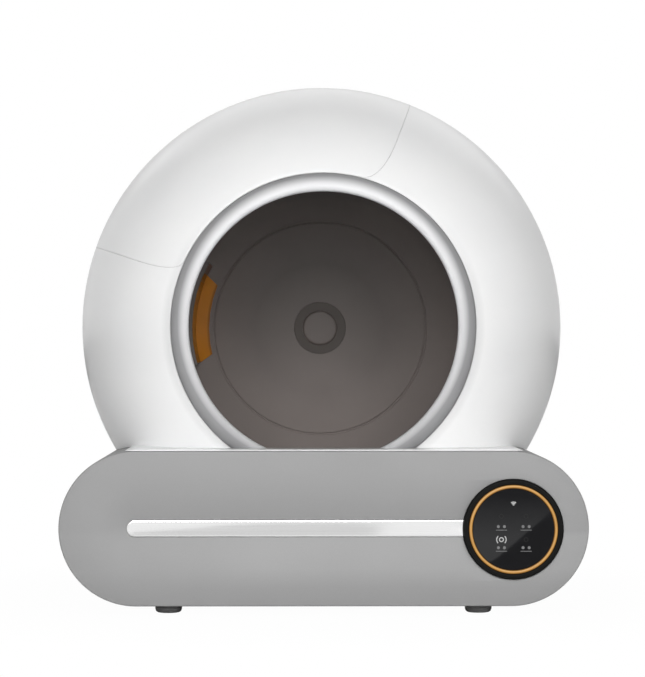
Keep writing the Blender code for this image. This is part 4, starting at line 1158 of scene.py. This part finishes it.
def mark_with(piece, finish):
    """Finish a mark and let it ride on the housing."""
    piece.data.materials.append(finish)
    place_on(piece, "housing", "ring_light")


# %% Marks on the glass
mark_x, mark_z, mark_width = pod_x - 0.0005, pod_z + 0.0006, 0.0010
key_columns, key_rows, key_radius, wave_radius = (-0.0124, 0.0136), (0.0134, -0.0112), 0.0021, 0.0050
label_heights, block_shift, block_width, block_height = (0.0025, -0.0197), 0.0032, 0.0030, 0.0031
line_drop, line_width, line_height = 0.0037, 0.0118, 0.0006
link_x, link_z, link_width = mark_x + 0.0004, mark_z + 0.0243, 0.0011
for number, radius in enumerate((0.0010, 0.0025, 0.0040), 1):
    mark_with(printed_arc("mark_link_%d" % number, link_x, link_z, radius, link_width, 50, 130), mark_light)
number = 0
for up, label_up in zip(key_rows, label_heights):
    for across in key_columns:
        number += 1
        x, z, label_z = mark_x + across, mark_z + up, mark_z + label_up
        lit = number == 3
        mark_with(printed_arc("mark_key_%d" % number, x, z, key_radius, mark_width, 0, 360),
                  mark_light if lit else mark_off)
        if lit:
            mark_with(printed_arc("mark_key_wave_1", x, z, wave_radius, mark_width, -46, 46), mark_light)
            mark_with(printed_arc("mark_key_wave_2", x, z, wave_radius, mark_width, 134, 226), mark_light)
        for side, bar_x in enumerate((x - block_shift, x + block_shift), 1):
            bar = printed_bar("mark_bar_%d_%d" % (number, side), bar_x, label_z, block_width, block_height)
            mark_with(bar, mark_faint)
        line = printed_bar("mark_line_%d" % number, x, label_z - line_drop, line_width, line_height)
        mark_with(line, mark_faint)

# %% [markdown]
# ## Feet
# Each foot is a rubber pad on a stem that presses on a load cell. The pad tapers a
# little and has a rounded lower edge and one groove round it. It is turned about an
# upright axis, once, and copied to the other three corners.

# %% Feet
pad_top, pad_radius = 0.0095, 0.0145
stem_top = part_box("foot_front_left")[1][2]
pad_side = ((0.0, pad_top), (0.0, 0.0074), (0.0006, 0.0070), (0.0006, 0.0064), (0.0001, 0.0060),
            (0.0003, 0.0036), (0.0012, 0.0014), (0.0030, 0.0003), (0.0045, 0.0))
outline = [(0, stem_top), (stem_radius, stem_top), (stem_radius, pad_top)]
outline += [(pad_radius - inset, z) for inset, z in pad_side] + [(0, 0.0)]
first_foot = draw_profile("rubber_foot_1", [(radius - foot_x, -foot_y, z) for radius, z in outline])
bpy.ops.mesh.select_all(action="SELECT")
bpy.ops.mesh.spin(steps=64, angle=full_turn, center=(-foot_x, -foot_y, 0), axis=(0, 0, 1))
tidy_turned()
leave_edit()
complete(first_foot, rubber_black, "housing", "rubber", "foot_front_left", degrees=40)
moves = (("foot_front_right", 2 * foot_x, 0), ("foot_rear_left", 0, 2 * foot_y),
         ("foot_rear_right", 2 * foot_x, 2 * foot_y))
for number, (node_name, across, back) in enumerate(moves, 2):
    pick(first_foot)
    bpy.ops.object.duplicate()
    foot = name_piece("rubber_foot_%d" % number)
    foot.parent = None
    bpy.ops.transform.translate(value=(across, back, 0))
    settle(foot)
    place_on(foot, "housing", "rubber", node_name)

# %% [markdown]
# ## Studio
# The box is photographed on a white sweep. To the camera, and in mirrors and
# glass, the floor and the world are plain white. The lamps see a plain pale floor,
# which keeps the soft shadow under the box: near the box the camera sees a little of
# that shadow, and from 0.6 m away only white.

# %% Floor and world
def output_of(finish):
    """The output node of a finish or of the world."""
    return next(node for node in finish.node_tree.nodes if node.type in ("OUTPUT_MATERIAL", "OUTPUT_WORLD"))


def white_to_the_eye(finish, near=1.0, shine=1.0):
    """White to camera, glossy and transmission rays, and itself to the rest."""
    output = output_of(finish)
    own = output.inputs["Surface"].links[0].from_socket
    path = add_node(finish, "LightPath").outputs
    seen = path["Is Camera Ray"]
    if near < 1:
        where = add_node(finish, "TexCoord").outputs["Object"]
        away = spread(finish, reach_of(finish, where), near, 1.0, 0.34, 0.60)
        seen = work_out(finish, "MULTIPLY", seen, away)
    shiny = work_out(finish, "MULTIPLY", path["Is Glossy Ray"], shine)
    share = work_out(finish, "MAXIMUM", work_out(finish, "MAXIMUM", seen, shiny), path["Is Transmission Ray"])
    glow = "Emission" if output.type == "OUTPUT_MATERIAL" else "Background"
    white = add_node(finish, glow, {"Color": (1, 1, 1, 1), "Strength": 1.0})
    mix = add_node(finish, "MixShader", {0: share, 1: own, 2: white.outputs[0]})
    finish.node_tree.links.new(mix.outputs[0], output.inputs["Surface"])


clear_selection()
bpy.ops.mesh.primitive_plane_add(size=24, location=(0, 0, 0))
floor = name_piece("studio_floor")
floor_finish = new_finish("floor_white", (0.92, 0.92, 0.92), 0.9)
white_to_the_eye(floor_finish, 0.98, 0.0)
floor.data.materials.append(floor_finish)

world = bpy.data.worlds.new("studio")
bpy.context.scene.world = world
world.use_nodes = True
background = world.node_tree.nodes["Background"].inputs
background["Color"].default_value = (1, 1, 1, 1)
background["Strength"].default_value = 0.150
white_to_the_eye(world, 1.0, 0.9)

# %% [markdown]
# One large soft lamp stands over the camera, so the bulged shell is brightest round
# the entrance and falls off evenly. A low, wide one fills the shell above the deck,
# and a third lights the back. Neither of these two shows in mirrors. Two weak lamps
# behind the box draw a pale rim at the top and on the left.

# %% Lamps
def aim(holder, place, target):
    """Stand a lamp or the camera at a place and turn it towards another."""
    holder.location = place
    direction = [b - a for a, b in zip(place, target)]
    level = math.hypot(direction[0], direction[1])
    holder.rotation_euler = (math.pi / 2 + math.atan2(direction[2], level), 0,
                             math.atan2(-direction[0], direction[1]))


def soft_box(name, place, target, width, height, power, hidden=False):
    """A rectangular lamp; a hidden one shows neither to the camera nor in mirrors."""
    lamp = bpy.data.lights.new(name, "AREA")
    lamp.shape = "RECTANGLE"
    lamp.size, lamp.size_y, lamp.energy = width, height, power
    holder = bpy.data.objects.new(name, lamp)
    bpy.context.scene.collection.objects.link(holder)
    aim(holder, place, target)
    if hidden:
        holder.visible_camera = holder.visible_glossy = False


soft_box("front_lamp", (0.02, -3.0, 1.10), (0, 0, 0.30), 1.8, 1.5, 71)
soft_box("fill_lamp", (0.0, -3.3, 0.28), (0, 0, 0.26), 2.4, 0.3, 14, True)
soft_box("back_lamp", (0.0, 3.2, 0.8), (0, 0, 0.30), 2.0, 1.2, 30, True)
soft_box("rim_lamp", (0.1, 2.0, 2.1), (0, 0, 0.35), 3.8, 1.6, 12)
soft_box("left_lamp", (-1.9, 1.8, 0.9), (0, 0, 0.30), 1.8, 2.0, 3)

# %% [markdown]
# Four cards lie on the floor ahead of the box, and only mirrors see them: a white
# one lights the strip, a grey one on it gives the strip its slanting reflection,
# one that fades gives the glass its sheen, and a dark one keeps the rest of the
# glass dark.

# %% Cards
def mirror_card(name, outline, brightness, height=0.002, fade=None):
    """A flat card on the floor that only glossy rays see."""
    card = fill_outline(name, [(x, y, height) for x, y in outline])
    leave_edit()
    finish = bpy.data.materials.new(name)
    finish.use_nodes = True
    if fade:
        where = add_node(finish, "TexCoord").outputs["Object"]
        brightness = spread(finish, axes_of(finish, where)["Y"], *fade)
    glow = add_node(finish, "Emission", {"Strength": brightness})
    finish.node_tree.links.new(glow.outputs[0], output_of(finish).inputs["Surface"])
    card.data.materials.append(finish)
    card.visible_camera = card.visible_diffuse = card.visible_shadow = card.visible_transmission = False


mirror_card("white_card", [(-1.5, -11.5), (1.8, -11.5), (1.0, -0.45), (-0.8, -0.45)], 0.96, 0.001)
mirror_card("glass_sheen", [
    (0.208, -1.0), (0.246, -1.73), (0.330, -2.72), (0.385, -3.4), (0.75, -3.4), (0.45, -1.0)],
    1, 0.0015, (0.15, 1.75, -2.60, -1.35))
mirror_card("strip_card", [
    (-0.072, -3.71), (-0.160, -2.22), (-0.184, -1.64), (-0.242, -1.27), (-0.30, -0.95),
    (0.078, -0.95), (0.103, -1.64), (0.168, -3.71)], 0.70)
mirror_card("glass_card", [
    (0.2441, -1.07), (0.4146, -2.117), (0.542, -2.9), (0.9, -2.9), (0.9, -0.6), (0.155, -0.6)], 0.15)

# %% [markdown]
# The camera stands level, a little left of the middle and as high as the drum's
# axis. From 3.2 m away with a long lens the ring, the shell and the drum's back
# wall line up as in the photograph.

# %% Camera
eye = bpy.data.cameras.new("photo_camera")
eye.lens, eye.sensor_width = 148.4, 36
camera = bpy.data.objects.new("photo_camera", eye)
bpy.context.scene.collection.objects.link(camera)
aim(camera, (-0.034, -3.2, 0.2856), (0.0013, 0.0, 0.293))
bpy.context.scene.camera = camera
bpy.context.scene.view_settings.view_transform = "Standard"

# %% [markdown]
# The last cell deletes the base's cutting tool.

# %% Delete the last tool
drop(base_room)
